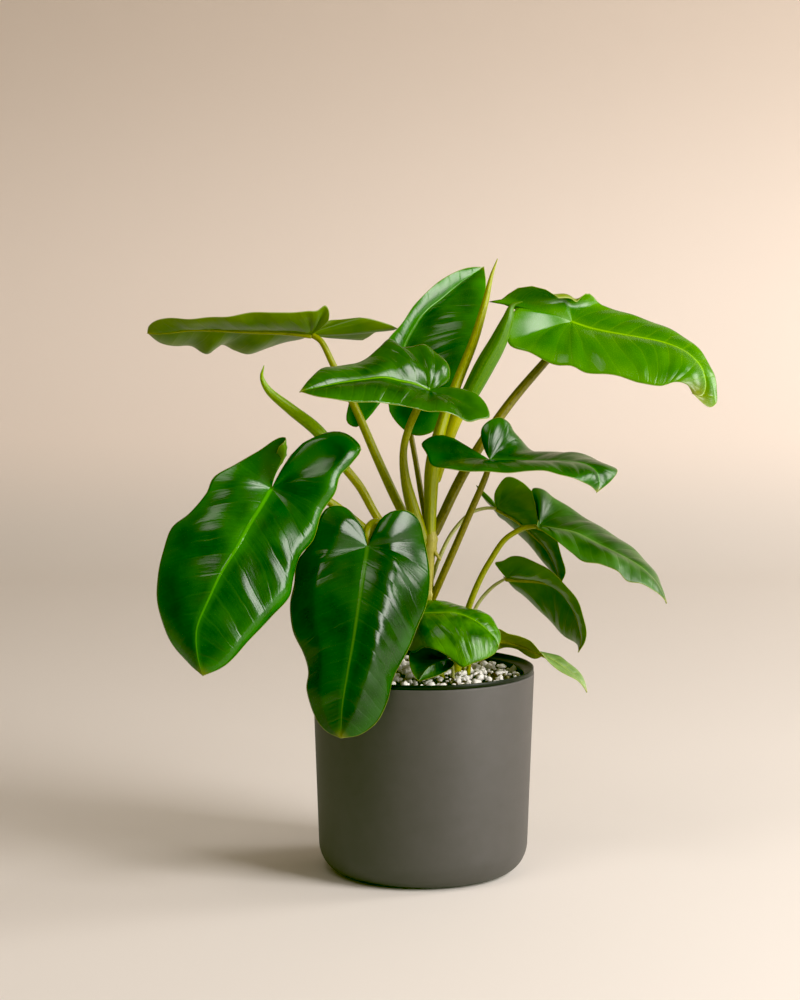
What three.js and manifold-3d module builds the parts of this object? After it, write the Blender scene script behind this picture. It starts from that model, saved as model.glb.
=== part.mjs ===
// A potted philodendron: glossy heart-shaped leaves on long petioles, one rolled spear at the
// crown, growing in a plastic nursery pot that stands inside a matt charcoal cover pot.
// Millimetres, +Z up. The origin is the middle of the cover pot's underside, and the plant's front
// faces -Y.

import * as THREE from 'three';
import { mergeVertices } from 'three/addons/utils/BufferGeometryUtils.js';
import Module from 'manifold-3d';

const wasm = await Module();
wasm.setup();

// Driving dimensions of the two pots
const coverHeight = 172;
const coverTopRadius = 95;
const coverLowRadius = 90;
const coverFootRadius = 70;
const coverFilletHeight = 25;
const coverWall = 3;
const coverFloor = 4;
const coverRimBevel = 0.8;
const potSegments = 48;

const nurseryTopRadius = 87;
const nurseryFootRadius = 74;
const nurseryLedge = 171.4;
const nurseryRim = 176;
const nurseryWall = 1.6;
const footBevel = 5;
const neckRadius = 91.5;
const lipRadius = 94.6;
const lipSeat = 172.3;
const lipBevel = 0.7;
const drainHoles = 8;
const drainHoleRadius = 5;
const drainCircleRadius = 52;

// Driving dimensions of the soil
const soilLevel = 168;
const soilRings = 8;
const soilSegments = 32;
const soilRoughness = 1.6;
const soilWaves = [
  { x: 0.11, y: 0.05, turn: 1.3, share: 0.5 },
  { x: -0.06, y: 0.13, turn: 0.4, share: 0.5 },
  { x: 0.31, y: 0.17, turn: 2.1, share: 0.3 },
  { x: -0.22, y: 0.37, turn: 4.2, share: 0.3 }
];
const soilEdgeWidth = 8;
const soilSeed = 17;
const perliteCount = 34;
const perliteSize = [1.8, 3.4];
const perliteReach = 80;
const perliteSunk = 0.65;

// Driving dimensions of the plant
const clearance = 0.3;
const bladeThickness = 0.8;
const ribDepth = 2.2;
const ribDepthAtTip = 0.2;
const lobeRows = 5;
const bladeRows = 12;
const bladeColumns = 4;
const lobeReach = 0.15;
const firstLobeRow = 0.1;
const stalkSides = 8;
const stalkSteps = 2;

// Colours and finishes
const finishes = {
  cover: { color: 0x4b4843, roughness: 0.6 },
  nursery: { color: 0x111111, roughness: 0.4 },
  soil: { color: 0x2a1f17, roughness: 1 },
  deepGreen: { color: 0x14480c, roughness: 0.28 },
  brightGreen: { color: 0x4a9410, roughness: 0.3 },
  oliveGreen: { color: 0x5c6a26, roughness: 0.4 },
  stalkYellow: { color: 0xa49a1e, roughness: 0.45 },
  stalkOlive: { color: 0x7a7420, roughness: 0.45 },
  stalkBrown: { color: 0x5e4a18, roughness: 0.45 },
  stalkPale: { color: 0xa3ad72, roughness: 0.45 },
  stem: { color: 0x9a8a58, roughness: 0.7 }
};

// Leaves. Each one is given by the points of three lines: its midrib, from the joint with the
// petiole to the tip, and its left and right margins, from the sinus round the basal lobe to the
// tip, as seen from the joint with the upper face up. crown is how far each half bulges upward.
const leaves = [
  {
    name: 'upper_left', finish: 'oliveGreen', crown: [-3, -3],
    midrib: [[-98, 60, 458], [-116, 60, 460], [-150, 58, 461], [-181, 56, 462], [-202, 56, 462],
      [-224, 58, 459], [-240, 60, 459]],
    left: [[-89, 52, 465], [-82, 44, 470], [-81, 38, 478], [-84, 36, 483], [-91, 34, 479],
      [-99, 32, 479], [-114, 30, 477], [-138, 28, 478], [-170, 30, 474], [-201, 36, 472],
      [-229, 46, 471], [-238, 54, 465]],
    right: [[-88, 64, 468], [-72, 66, 470], [-50, 60, 472], [-33, 68, 467], [-22, 76, 462],
      [-38, 84, 460], [-54, 88, 452], [-64, 96, 459], [-75, 110, 467], [-96, 116, 461],
      [-114, 108, 454], [-133, 96, 447], [-153, 88, 439], [-166, 88, 443], [-178, 92, 447],
      [-190, 82, 440], [-204, 86, 446], [-217, 80, 447], [-231, 74, 450]]
  },
  {
    name: 'upper_right', finish: 'brightGreen', crown: [4, 5],
    midrib: [[128, 38, 469], [143, 34, 464], [162, 30, 460], [186, 26, 456], [209, 24, 451],
      [226, 20, 443], [237, 15, 431], [240, 8, 417], [237, 1, 409], [232, -5, 408],
      [227, -8, 410]],
    left: [[116, 40, 471], [101, 38, 471], [85, 36, 476], [71, 36, 484], [56, 36, 486],
      [69, 40, 489], [84, 46, 495], [99, 50, 496], [112, 54, 497], [124, 60, 491],
      [146, 64, 486], [171, 60, 478], [201, 52, 468], [224, 42, 457], [238, 32, 445],
      [248, 20, 427], [250, 10, 412], [249, 2, 402], [242, -4, 398]],
    right: [[113, 31, 473], [96, 23, 477], [81, 16, 482], [74, 10, 473], [72, 2, 452],
      [90, -4, 444], [112, -8, 434], [125, -10, 433], [137, -12, 428], [165, -14, 425],
      [182, -14, 419], [199, -14, 417], [212, -12, 420], [222, -10, 417]]
  },
  {
    name: 'back', finish: 'deepGreen', crown: [5, 6],
    midrib: [[-23, 58, 425], [-17, 66, 445], [-9, 74, 461], [2, 82, 476], [17, 92, 488],
      [33, 102, 501], [55, 114, 516]],
    left: [[-30, 52, 410], [-46, 44, 387], [-58, 42, 378], [-66, 44, 382], [-65, 48, 396],
      [-58, 52, 414], [-44, 56, 434], [-29, 62, 455], [-20, 68, 465], [-7, 78, 483],
      [8, 88, 498], [24, 98, 509], [40, 108, 515]],
    right: [[-28, 50, 408], [-30, 44, 394], [-22, 38, 381], [-7, 36, 371], [8, 36, 374],
      [19, 38, 389], [30, 42, 412], [39, 50, 437], [47, 60, 461], [53, 74, 483],
      [56, 92, 500]]
  },
  {
    name: 'centre_left', finish: 'deepGreen', crown: [5, 8],
    midrib: [[4, -40, 415], [-8, -44, 420], [-20, -50, 423], [-32, -57, 426], [-49, -67, 425],
      [-69, -80, 423], [-86, -90, 420], [-101, -97, 417]],
    left: [[17, -34, 417], [32, -34, 416], [44, -38, 411], [52, -46, 403], [54, -54, 393],
      [46, -62, 392], [36, -70, 391], [25, -76, 396], [13, -80, 400], [3, -80, 400],
      [-8, -82, 402], [-24, -86, 406], [-44, -94, 408], [-68, -102, 410], [-88, -104, 414]],
    right: [[13, -32, 417], [21, -26, 422], [22, -22, 430], [19, -20, 437], [10, -17, 445],
      [1, -15, 452], [-10, -16, 450], [-20, -18, 450], [-28, -20, 457], [-38, -28, 449],
      [-47, -35, 442], [-57, -45, 437], [-71, -56, 436], [-84, -70, 434], [-93, -84, 427]]
  },
  {
    name: 'left', finish: 'deepGreen', crown: [9, 7],
    midrib: [[-126, -62, 335], [-133, -76, 323], [-142, -88, 309], [-152, -100, 291],
      [-164, -112, 272], [-174, -122, 251], [-183, -130, 228], [-182, -134, 207],
      [-178, -134, 191]],
    left: [[-117, -56, 344], [-109, -51, 356], [-99, -47, 371], [-85, -44, 379],
      [-68, -42, 380], [-57, -44, 374], [-52, -48, 366], [-60, -56, 355], [-69, -62, 346],
      [-73, -66, 332], [-84, -70, 316], [-91, -76, 294], [-102, -84, 281], [-107, -92, 263],
      [-110, -98, 250], [-125, -108, 234], [-141, -118, 218], [-161, -128, 198]],
    right: [[-122, -66, 343], [-116, -70, 352], [-109, -73, 361], [-103, -75, 369],
      [-105, -77, 377], [-118, -74, 378], [-137, -67, 366], [-156, -66, 355],
      [-173, -72, 345], [-179, -76, 332], [-193, -80, 316], [-207, -84, 304],
      [-214, -90, 283], [-218, -98, 257], [-213, -108, 231], [-201, -118, 210],
      [-189, -126, 199]]
  },
  {
    name: 'front', finish: 'deepGreen', crown: [11, 10],
    midrib: [[-47, -66, 287], [-50, -84, 268], [-54, -98, 243], [-58, -108, 216],
      [-63, -114, 188], [-67, -117, 162], [-68, -118, 137]],
    left: [[-44, -64, 295], [-38, -61, 307], [-28, -57, 315], [-15, -54, 316], [-5, -50, 309],
      [0, -46, 292], [4, -49, 272], [4, -60, 246], [-5, -74, 222], [-16, -88, 199],
      [-26, -96, 181], [-30, -101, 164], [-39, -106, 148], [-52, -113, 139]],
    right: [[-50, -62, 298], [-56, -60, 311], [-67, -62, 320], [-79, -66, 320],
      [-87, -70, 310], [-96, -72, 288], [-105, -74, 275], [-107, -78, 259], [-110, -84, 243],
      [-108, -90, 221], [-99, -96, 203], [-95, -100, 188], [-96, -106, 175],
      [-90, -110, 155], [-80, -114, 142]]
  },
  {
    name: 'right', finish: 'deepGreen', crown: [4, 5],
    midrib: [[55, -30, 356], [72, -32, 356], [93, -36, 355], [113, -40, 356], [132, -44, 354],
      [142, -50, 349], [145, -54, 341], [143, -58, 331]],
    left: [[52, -26, 364], [48, -22, 373], [49, -18, 382], [56, -14, 388], [65, -10, 390],
      [73, -6, 385], [77, -2, 377], [84, 2, 369], [93, 6, 361], [104, 8, 358], [125, 6, 358],
      [141, -4, 356], [155, -18, 350], [162, -32, 347], [156, -46, 340]],
    right: [[45, -30, 360], [35, -28, 368], [22, -26, 375], [8, -28, 376], [-2, -36, 370],
      [2, -46, 362], [6, -56, 354], [20, -64, 351], [38, -68, 350], [62, -70, 349],
      [87, -72, 350], [100, -74, 351], [113, -76, 347], [126, -74, 343], [136, -66, 338]]
  },
  {
    name: 'lower_right', finish: 'deepGreen', crown: [4, 4],
    midrib: [[98, -10, 298], [111, -14, 296], [128, -18, 293], [149, -22, 283],
      [170, -27, 273], [186, -32, 263], [197, -36, 251], [204, -40, 236]],
    left: [[97, -4, 306], [95, 4, 317], [93, 12, 327], [103, 18, 326], [114, 22, 318],
      [131, 22, 307], [152, 18, 294], [174, 8, 281], [189, -6, 268], [198, -20, 256],
      [202, -30, 245]],
    right: [[97, -14, 303], [96, -22, 298], [102, -30, 295], [111, -38, 288], [124, -44, 279],
      [133, -48, 272], [148, -50, 270], [161, -52, 265], [169, -52, 256], [182, -50, 254],
      [193, -48, 247], [199, -44, 242]]
  },
  {
    name: 'right_rear', finish: 'oliveGreen', crown: [-3, -4],
    midrib: [[65, 40, 307], [80, 42, 298], [93, 44, 287], [107, 45, 273], [114, 45, 260],
      [121, 44, 241]],
    left: [[59, 44, 315], [52, 46, 322], [47, 48, 327], [50, 58, 322], [61, 66, 309],
      [71, 70, 297], [81, 70, 287], [91, 68, 275], [101, 62, 264], [112, 54, 251]],
    right: [[62, 36, 314], [63, 30, 325], [72, 26, 336], [85, 24, 332], [95, 24, 323],
      [105, 26, 311], [112, 28, 297], [116, 30, 281], [121, 32, 265], [124, 36, 252]]
  },
  {
    name: 'low_right_rear', finish: 'oliveGreen', crown: [-3, -4],
    midrib: [[73, 30, 248], [88, 30, 247], [106, 28, 245], [118, 24, 239], [129, 20, 225],
      [135, 16, 209], [137, 12, 196], [134, 8, 186]],
    left: [[70, 36, 248], [73, 46, 244], [79, 54, 240], [88, 58, 231], [101, 58, 217],
      [114, 52, 204], [125, 42, 194], [134, 24, 190]],
    right: [[67, 24, 255], [62, 18, 263], [68, 14, 265], [76, 10, 269], [86, 6, 269],
      [97, 2, 265], [110, -2, 257], [122, -4, 246], [133, -4, 230], [139, -2, 211],
      [139, 4, 196]]
  },
  {
    name: 'small_front', finish: 'brightGreen', crown: [4, 9],
    midrib: [[0, -30, 226], [14, -32, 227], [26, -34, 227], [39, -36, 223], [51, -38, 215],
      [59, -40, 207], [63, -42, 199]],
    left: [[-3, -24, 230], [-2, -18, 233], [6, -12, 235], [19, -10, 233], [34, -10, 228],
      [46, -12, 224], [56, -18, 222], [62, -26, 215], [65, -34, 207]],
    right: [[-4, -26, 224], [-10, -25, 213], [-14, -30, 200], [-9, -41, 194], [0, -54, 201],
      [8, -60, 200], [18, -63, 196], [26, -65, 190], [32, -66, 186], [41, -64, 189],
      [51, -59, 192], [59, -51, 195]]
  },
  {
    name: 'low_right', finish: 'oliveGreen', crown: [2, 2],
    midrib: [[55, 0, 197], [68, 1, 198], [82, 2, 194], [94, 0, 189], [104, -2, 185],
      [115, -4, 179], [125, -6, 172], [134, -9, 165], [140, -12, 155]],
    left: [[55, 6, 190], [60, 10, 187], [71, 13, 190], [80, 13, 188], [89, 10, 183],
      [97, 6, 181], [106, 4, 185], [116, 4, 184], [124, 2, 179], [133, -2, 172],
      [138, -7, 164]],
    right: [[53, -6, 204], [58, -10, 209], [65, -12, 210], [72, -12, 206], [82, -12, 203],
      [92, -11, 199], [99, -12, 191], [107, -14, 181], [115, -16, 175], [124, -17, 170],
      [132, -16, 165]]
  },
  {
    name: 'low_front', finish: 'deepGreen', crown: [-4, -4],
    midrib: [[20, -42, 189], [12, -50, 188], [3, -58, 184], [-5, -68, 175]],
    left: [[25, -46, 187], [24, -53, 185], [18, -61, 182], [10, -67, 179], [2, -70, 177]],
    right: [[15, -34, 195], [1, -32, 197], [-11, -38, 194], [-12, -48, 186], [-9, -58, 179]]
  }
];

// Stalks: the points of each centre line with the radius there, from the leaf down to the crown.
// The later ones in the list are cut back where they meet the earlier ones.
const mainStem = [[9, 8, 128, 6], [9, 8, 172, 6], [6, 4, 215, 5.5], [4, 3, 234, 5.3],
  [4, 3, 237, 6.5], [4, 3, 240, 5.3], [4, 2, 254, 5], [5, 1, 273, 5.4], [5, 1, 277, 7],
  [6, 0, 281, 5.6], [6, 0, 285, 6.6], [6, 0, 290, 5]];
const aerialRoot = [[5, 0, 279, 2.4], [10, -2, 274, 1.8], [14, -3, 268, 1.2]];

const stalks = [
  { name: 'spear_leaf', finish: 'stalkYellow', stations: [[63, 22, 523, 0.4], [58, 20, 509, 1.6],
    [52, 17, 484, 3], [43, 13, 454, 3.9], [29, 9, 419, 4.4], [17, 5, 387, 5], [8, 2, 349, 6.5],
    [6, 1, 314, 5.5], [6, 0, 290, 4.5]] },
  { name: 'unrolling_leaf', finish: 'oliveGreen', stations: [[83, 0, 487, 0.5], [75, 0, 484, 2],
    [71, 0, 472, 5], [63, 2, 453, 7.5], [52, 4, 433, 8.4], [40, 6, 410, 7.5]] },
  { name: 'unrolling_petiole', finish: 'stalkYellow', stations: [[40, 6, 410, 5.5],
    [28, 6, 388, 5.5], [21, 5, 370, 5], [12, 4, 336, 3]] },
  { name: 'centre_left_petiole', finish: 'stalkOlive', stations: [[4, -40, 415, 2.6],
    [-5, -36, 400, 3.2], [-13, -28, 381, 3.2], [-17, -20, 363, 3.2], [-16, -14, 342, 4],
    [-10, -6, 315, 5.5], [0, 0, 284, 6]] },
  { name: 'upper_right_petiole', finish: 'stalkBrown', stations: [[128, 38, 469, 2.4],
    [118, 36, 449, 3.2], [105, 34, 435, 3.6], [71, 28, 395, 4.2], [35, 16, 341, 4.4],
    [10, 4, 291, 4.2]] },
  { name: 'upper_left_petiole', finish: 'stalkOlive', stations: [[-98, 60, 458, 2.4],
    [-89, 58, 452, 2.6], [-77, 54, 429, 3], [-60, 46, 397, 3.5], [-39, 34, 350, 4],
    [-23, 24, 316, 4.2], [-3, 8, 279, 4.2]] },
  { name: 'back_petiole', finish: 'stalkBrown', stations: [[-23, 58, 425, 2.2],
    [-18, 50, 401, 2.2], [-11, 40, 373, 2.4], [-6, 28, 347, 2.4], [-1, 16, 318, 2.6],
    [4, 8, 292, 2.6]] },
  { name: 'rolled_leaf', finish: 'stalkYellow', stations: [[-134, -20, 434, 0.4],
    [-136, -19, 425, 1.6], [-131, -18, 414, 3], [-113, -14, 398, 4.6], [-89, -10, 378, 5.4],
    [-67, -4, 347, 4.4]] },
  { name: 'rolled_petiole', finish: 'stalkYellow', stations: [[-67, -4, 347, 3.8],
    [-54, 0, 330, 3.8], [-39, 4, 303, 3.6], [-20, 6, 279, 3.6], [1, 4, 258, 3.6]] },
  { name: 'front_petiole', finish: 'stalkOlive', stations: [[-47, -64, 286, 2.2],
    [-47, -58, 297, 4.2], [-41, -46, 304, 4.2], [-27, -28, 292, 4], [-8, -10, 264, 4],
    [3, 2, 222, 4]] },
  { name: 'left_petiole', finish: 'stalkOlive', stations: [[-125.4, -60.6, 334.6, 2.4],
    [-110, -48, 336, 3], [-89, -36, 327, 3.5], [-66, -24, 310, 3.8], [-33, -6, 278, 4],
    [1, 6, 235, 4]] },
  { name: 'right_petiole', finish: 'stalkOlive', stations: [[55, -30, 356, 2], [53, -24, 344, 2.6],
    [38, -12, 306, 3], [21, -4, 265, 3.2], [8, 2, 234, 3.2]] },
  { name: 'right_rear_petiole', finish: 'stalkPale', stations: [[65, 40, 307, 1.2],
    [56, 36, 308, 1.5], [42, 28, 305, 1.6], [25, 16, 289, 1.7], [13, 8, 266, 1.8],
    [7, 4, 249, 1.8]] },
  { name: 'lower_right_petiole', finish: 'stalkOlive', stations: [[97, -10, 297.5, 1.8],
    [86, -10, 296, 2.2], [70, -10, 287, 2.4], [57, -8, 268, 2.5], [48, -6, 251, 2.6],
    [39, -4, 228, 2.8], [31, 0, 198, 3.4], [28, 2, 140, 4.2]] },
  { name: 'low_right_rear_petiole', finish: 'stalkPale', stations: [[73, 30, 248, 1.2],
    [61, 26, 241, 1.5], [49, 20, 229, 1.6], [42, 16, 215, 1.7], [37, 12, 187, 2],
    [35, 10, 145, 2]] },
  { name: 'small_front_petiole', finish: 'stalkOlive', stations: [[0, -29, 225, 1.4],
    [5, -23, 212, 1.8], [13, -17, 186, 2.2], [18, -15, 145, 2.4]] },
  { name: 'low_right_petiole', finish: 'stalkOlive', stations: [[55, 0, 197, 1.4],
    [46, -1, 193, 1.8], [40, 0, 181, 2], [38, 2, 145, 2.2]] },
  { name: 'low_front_petiole', finish: 'stalkOlive', stations: [[20, -42, 189, 1.2],
    [24, -34, 183, 1.4], [24, -28, 150, 1.6]] }
];

const plant = new THREE.Group();

function finish(name) {
  return new THREE.MeshStandardMaterial({ ...finishes[name], metalness: 0 });
}

function add(name, geometry, finishName) {
  const mesh = new THREE.Mesh(geometry, finish(finishName));
  mesh.name = name;
  plant.add(mesh);
}

function point(p) {
  return new THREE.Vector3(p[0], p[1], p[2]);
}

function mix(a, b, t) {
  return a + (b - a) * t;
}

// A closed mesh and a solid are two forms of the same body
function triangleMesh(positions, triangles) {
  const geometry = new THREE.BufferGeometry();
  geometry.setAttribute('position', new THREE.Float32BufferAttribute(positions, 3));
  geometry.setIndex(triangles);
  return geometry;
}

function merged(geometry) {
  const bare = geometry.clone();
  bare.deleteAttribute('normal');
  bare.deleteAttribute('uv');
  const shared = mergeVertices(bare, 1e-4);
  const index = shared.index.array;
  const kept = [];
  for (let i = 0; i < index.length; i += 3) {
    const [a, b, c] = [index[i], index[i + 1], index[i + 2]];
    if (a !== b && b !== c && c !== a) kept.push(a, b, c);
  }
  return triangleMesh(Array.from(shared.attributes.position.array), kept);
}

function solid(geometry) {
  const shared = merged(geometry);
  const vertProperties = new Float32Array(shared.attributes.position.array);
  const triVerts = new Uint32Array(shared.index.array);
  return new wasm.Manifold(new wasm.Mesh({ numProp: 3, vertProperties, triVerts }));
}

function meshOf(body) {
  const { vertProperties, triVerts } = body.getMesh();
  return triangleMesh(Array.from(vertProperties), Array.from(triVerts));
}

function largestPiece(body) {
  const pieces = body.decompose();
  pieces.sort((a, b) => b.volume() - a.volume());
  return pieces[0];
}

// A turned form about Z from a profile of [radius, height] points
function turned(profile, segments) {
  const outline = profile.map(([r, z]) => new THREE.Vector2(r, z));
  return new THREE.LatheGeometry(outline, segments).rotateX(Math.PI / 2);
}

// Points of a rounded foot that runs from one [radius, height] point, level, up to another
function fillet(from, to, steps) {
  const points = [];
  for (let i = 0; i <= steps; i++) {
    const angle = (Math.PI / 2) * (i / steps);
    points.push([mix(from[0], to[0], Math.sin(angle)), mix(from[1], to[1], 1 - Math.cos(angle))]);
  }
  return points;
}

// Seeded random numbers, so that the soil is the same each time
function seeded(seed) {
  let state = seed;
  return () => {
    state = (state * 1664525 + 1013904223) % 4294967296;
    return state / 4294967296;
  };
}

// Cover pot: a plain tapered wall on a rounded foot
function coverPot() {
  const inner = coverTopRadius - coverWall;
  const innerFilletTop = coverFilletHeight + coverFloor / 2;
  return merged(turned([
    [0, 0],
    ...fillet([coverFootRadius, 0], [coverLowRadius, coverFilletHeight], 5),
    [coverTopRadius, coverHeight - coverRimBevel],
    [coverTopRadius - coverRimBevel, coverHeight],
    [inner + coverRimBevel, coverHeight],
    [inner, coverHeight - coverRimBevel],
    ...fillet([coverFootRadius, coverFloor], [coverLowRadius - coverWall, innerFilletTop], 3).reverse(),
    [0, coverFloor]
  ], potSegments));
}

function nurseryInnerRadius(z) {
  const share = (z - coverFloor) / (nurseryLedge - coverFloor);
  return mix(nurseryFootRadius, nurseryTopRadius, share) - nurseryWall;
}

// Nursery pot: a thin tapered pot with drain holes, which stands on the cover pot's floor. Its ledge
// ends in a lip that reaches over the cover pot's rim.
function nurseryPot() {
  const floorTop = coverFloor + nurseryWall;
  const pot = turned([
    [0, coverFloor],
    [nurseryFootRadius - footBevel, coverFloor],
    [nurseryFootRadius, coverFloor + footBevel],
    [nurseryTopRadius, nurseryLedge - nurseryWall],
    [neckRadius, nurseryLedge - nurseryWall],
    [neckRadius, lipSeat],
    [lipRadius, lipSeat],
    [lipRadius, nurseryRim - lipBevel],
    [lipRadius - lipBevel, nurseryRim],
    [lipRadius - nurseryWall, nurseryRim],
    [lipRadius - nurseryWall, lipSeat + nurseryWall],
    [neckRadius - nurseryWall, lipSeat + nurseryWall],
    [neckRadius - nurseryWall, nurseryLedge],
    [nurseryInnerRadius(nurseryLedge), nurseryLedge],
    [nurseryInnerRadius(floorTop + footBevel), floorTop + footBevel],
    [nurseryInnerRadius(floorTop) - footBevel, floorTop],
    [0, floorTop]
  ], potSegments);
  let body = solid(pot);
  for (let i = 0; i < drainHoles; i++) {
    const angle = (2 * Math.PI * i) / drainHoles;
    const hole = new THREE.CylinderGeometry(drainHoleRadius, drainHoleRadius, 4 * nurseryWall, 12);
    hole.rotateX(Math.PI / 2);
    hole.translate(drainCircleRadius, 0, coverFloor);
    hole.rotateZ(angle);
    body = body.subtract(solid(hole));
  }
  return meshOf(body);
}

// Height of the lumpy soil above its level, from a few crossed waves
function soilHeight(x, y) {
  const sum = soilWaves.reduce((total, w) => total + w.share * Math.sin(w.x * x + w.y * y + w.turn), 0);
  return soilRoughness * sum;
}

// Soil: fills the nursery pot, with a lumpy top and perlite lumps standing out of it
function soilBody() {
  const bottom = coverFloor + nurseryWall;
  const edge = nurseryInnerRadius(soilLevel) - clearance;
  const corner = bottom + footBevel + clearance;
  const profile = [[0, bottom], [nurseryInnerRadius(bottom) - footBevel - clearance, bottom],
    [nurseryInnerRadius(corner) - clearance, corner], [edge, soilLevel]];
  for (let i = 1; i < soilRings; i++) {
    profile.push([edge * (1 - i / soilRings), soilLevel + 0.001 * i]);
  }
  profile.push([0, soilLevel + 0.001 * soilRings]);
  const body = turned(profile, soilSegments);
  const position = body.attributes.position;
  for (let i = 0; i < position.count; i++) {
    const [x, y, z] = [position.getX(i), position.getY(i), position.getZ(i)];
    const radius = Math.hypot(x, y);
    const fade = Math.min(1, (edge - radius) / soilEdgeWidth);
    if (z > soilLevel) position.setZ(i, soilLevel + fade * soilHeight(x, y));
  }
  let soil = solid(body);
  const random = seeded(soilSeed);
  for (let i = 0; i < perliteCount; i++) {
    const reach = perliteReach * Math.sqrt(random());
    const angle = 2 * Math.PI * random();
    const size = mix(perliteSize[0], perliteSize[1], random());
    const [x, y] = [reach * Math.cos(angle), reach * Math.sin(angle)];
    const lump = new THREE.OctahedronGeometry(size, 0);
    lump.rotateX(Math.PI * random());
    lump.rotateZ(Math.PI * random());
    lump.translate(x, y, soilLevel + soilHeight(x, y) + (1 - perliteSunk) * size);
    soil = soil.add(solid(lump));
  }
  return soil;
}

// A thin solid from an open sheet of triangles, whose upper side they face. depths is how deep the
// sheet is below each vertex, and grow makes all of it larger by that much on every side.
function thickened(vertices, triangles, depths, grow = 0) {
  const normals = vertices.map(() => new THREE.Vector3());
  const outward = vertices.map(() => new THREE.Vector3());
  const edges = new Map();
  for (const [a, b, c] of triangles) {
    const ab = vertices[b].clone().sub(vertices[a]);
    const ac = vertices[c].clone().sub(vertices[a]);
    const normal = ab.cross(ac);
    for (const v of [a, b, c]) normals[v].add(normal);
    for (const [p, q] of [[a, b], [b, c], [c, a]]) edges.set(`${p} ${q}`, [p, q, normal]);
  }
  for (const normal of normals) normal.normalize();
  const rim = [];
  for (const [p, q, normal] of edges.values()) {
    if (edges.has(`${q} ${p}`)) continue;
    rim.push([p, q]);
    const out = vertices[q].clone().sub(vertices[p]).cross(normal).normalize();
    outward[p].add(out);
    outward[q].add(out);
  }
  const positions = [];
  for (const top of [true, false]) {
    vertices.forEach((vertex, i) => {
      const shift = top ? grow : -depths[i] - grow;
      const moved = vertex.clone().addScaledVector(normals[i], shift);
      if (grow) moved.addScaledVector(outward[i].normalize(), grow);
      positions.push(moved.x, moved.y, moved.z);
    });
  }
  const count = vertices.length;
  const faces = [];
  for (const [a, b, c] of triangles) faces.push(a, b, c, count + a, count + c, count + b);
  for (const [p, q] of rim) faces.push(q, p, count + p, q, count + p, count + q);
  return triangleMesh(positions, faces);
}

function curveThrough(points) {
  return new THREE.CatmullRomCurve3(points.map(point), false, 'centripetal');
}

// Where the rows of a basal lobe meet the margin, as shares of the margin's length. The lobe lies
// behind the first veins of the midrib, and its rows fan out from the joint, spread by how far the
// margin goes sideways as seen from there.
function lobeStops(midrib, margin) {
  const joint = midrib.getPointAt(0);
  const axis = midrib.getPointAt(lobeReach).sub(joint).normalize();
  const reach = lobeReach * midrib.getLength();
  const steps = 300;
  const sideways = [0];
  let before = joint;
  let last = 0;
  for (let i = 1; i <= steps; i++) {
    const spot = margin.getPointAt(i / steps);
    const outward = spot.clone().sub(joint);
    const step = spot.clone().sub(before);
    sideways.push(sideways[i - 1] + step.projectOnPlane(outward.clone().normalize()).length());
    if (outward.dot(axis) < reach) last = i;
    before = spot;
  }
  const stops = [];
  for (let r = 0; r <= lobeRows; r++) {
    const target = mix(firstLobeRow, 1, r / lobeRows) * sideways[last];
    stops.push(sideways.findIndex((travel) => travel >= target) / steps);
  }
  return stops;
}

// Rows of one half of a blade: each runs from the midrib out to the margin
function halfRows(leaf, side) {
  const midrib = curveThrough(leaf.midrib);
  const outline = [leaf.midrib[0], ...(side === 0 ? leaf.left : leaf.right), leaf.midrib.at(-1)];
  const margin = curveThrough(outline);
  const stops = lobeStops(midrib, margin);
  const rows = stops.map((around, r) => ({ along: 0, around, fullness: r / lobeRows }));
  for (let r = 1; r < bladeRows; r++) {
    const around = mix(stops.at(-1), 1, r / bladeRows);
    rows.push({ along: r / bladeRows, around, fullness: 1 });
  }
  const step = 0.02;
  for (const row of rows) {
    row.inner = midrib.getPointAt(row.along);
    row.outer = margin.getPointAt(row.around);
    const before = midrib.getPointAt(Math.max(0, row.along - step));
    before.add(margin.getPointAt(Math.max(0, row.around - step)));
    const after = midrib.getPointAt(Math.min(1, row.along + step));
    after.add(margin.getPointAt(Math.min(1, row.around + step)));
    const across = row.outer.clone().sub(row.inner);
    row.width = across.length();
    row.lift = after.sub(before).cross(across).multiplyScalar(side === 0 ? 1 : -1);
  }
  const widest = Math.max(...rows.map((row) => row.width));
  rows.forEach((row, i) => {
    const lift = row.lift.clone();
    for (const near of [rows[i - 1], rows[i + 1]]) {
      if (near) lift.addScaledVector(near.lift, 0.5);
    }
    const height = (leaf.crown[side] * row.fullness * row.width) / widest;
    row.bulge = lift.normalize().multiplyScalar(height);
  });
  return rows;
}

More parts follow.
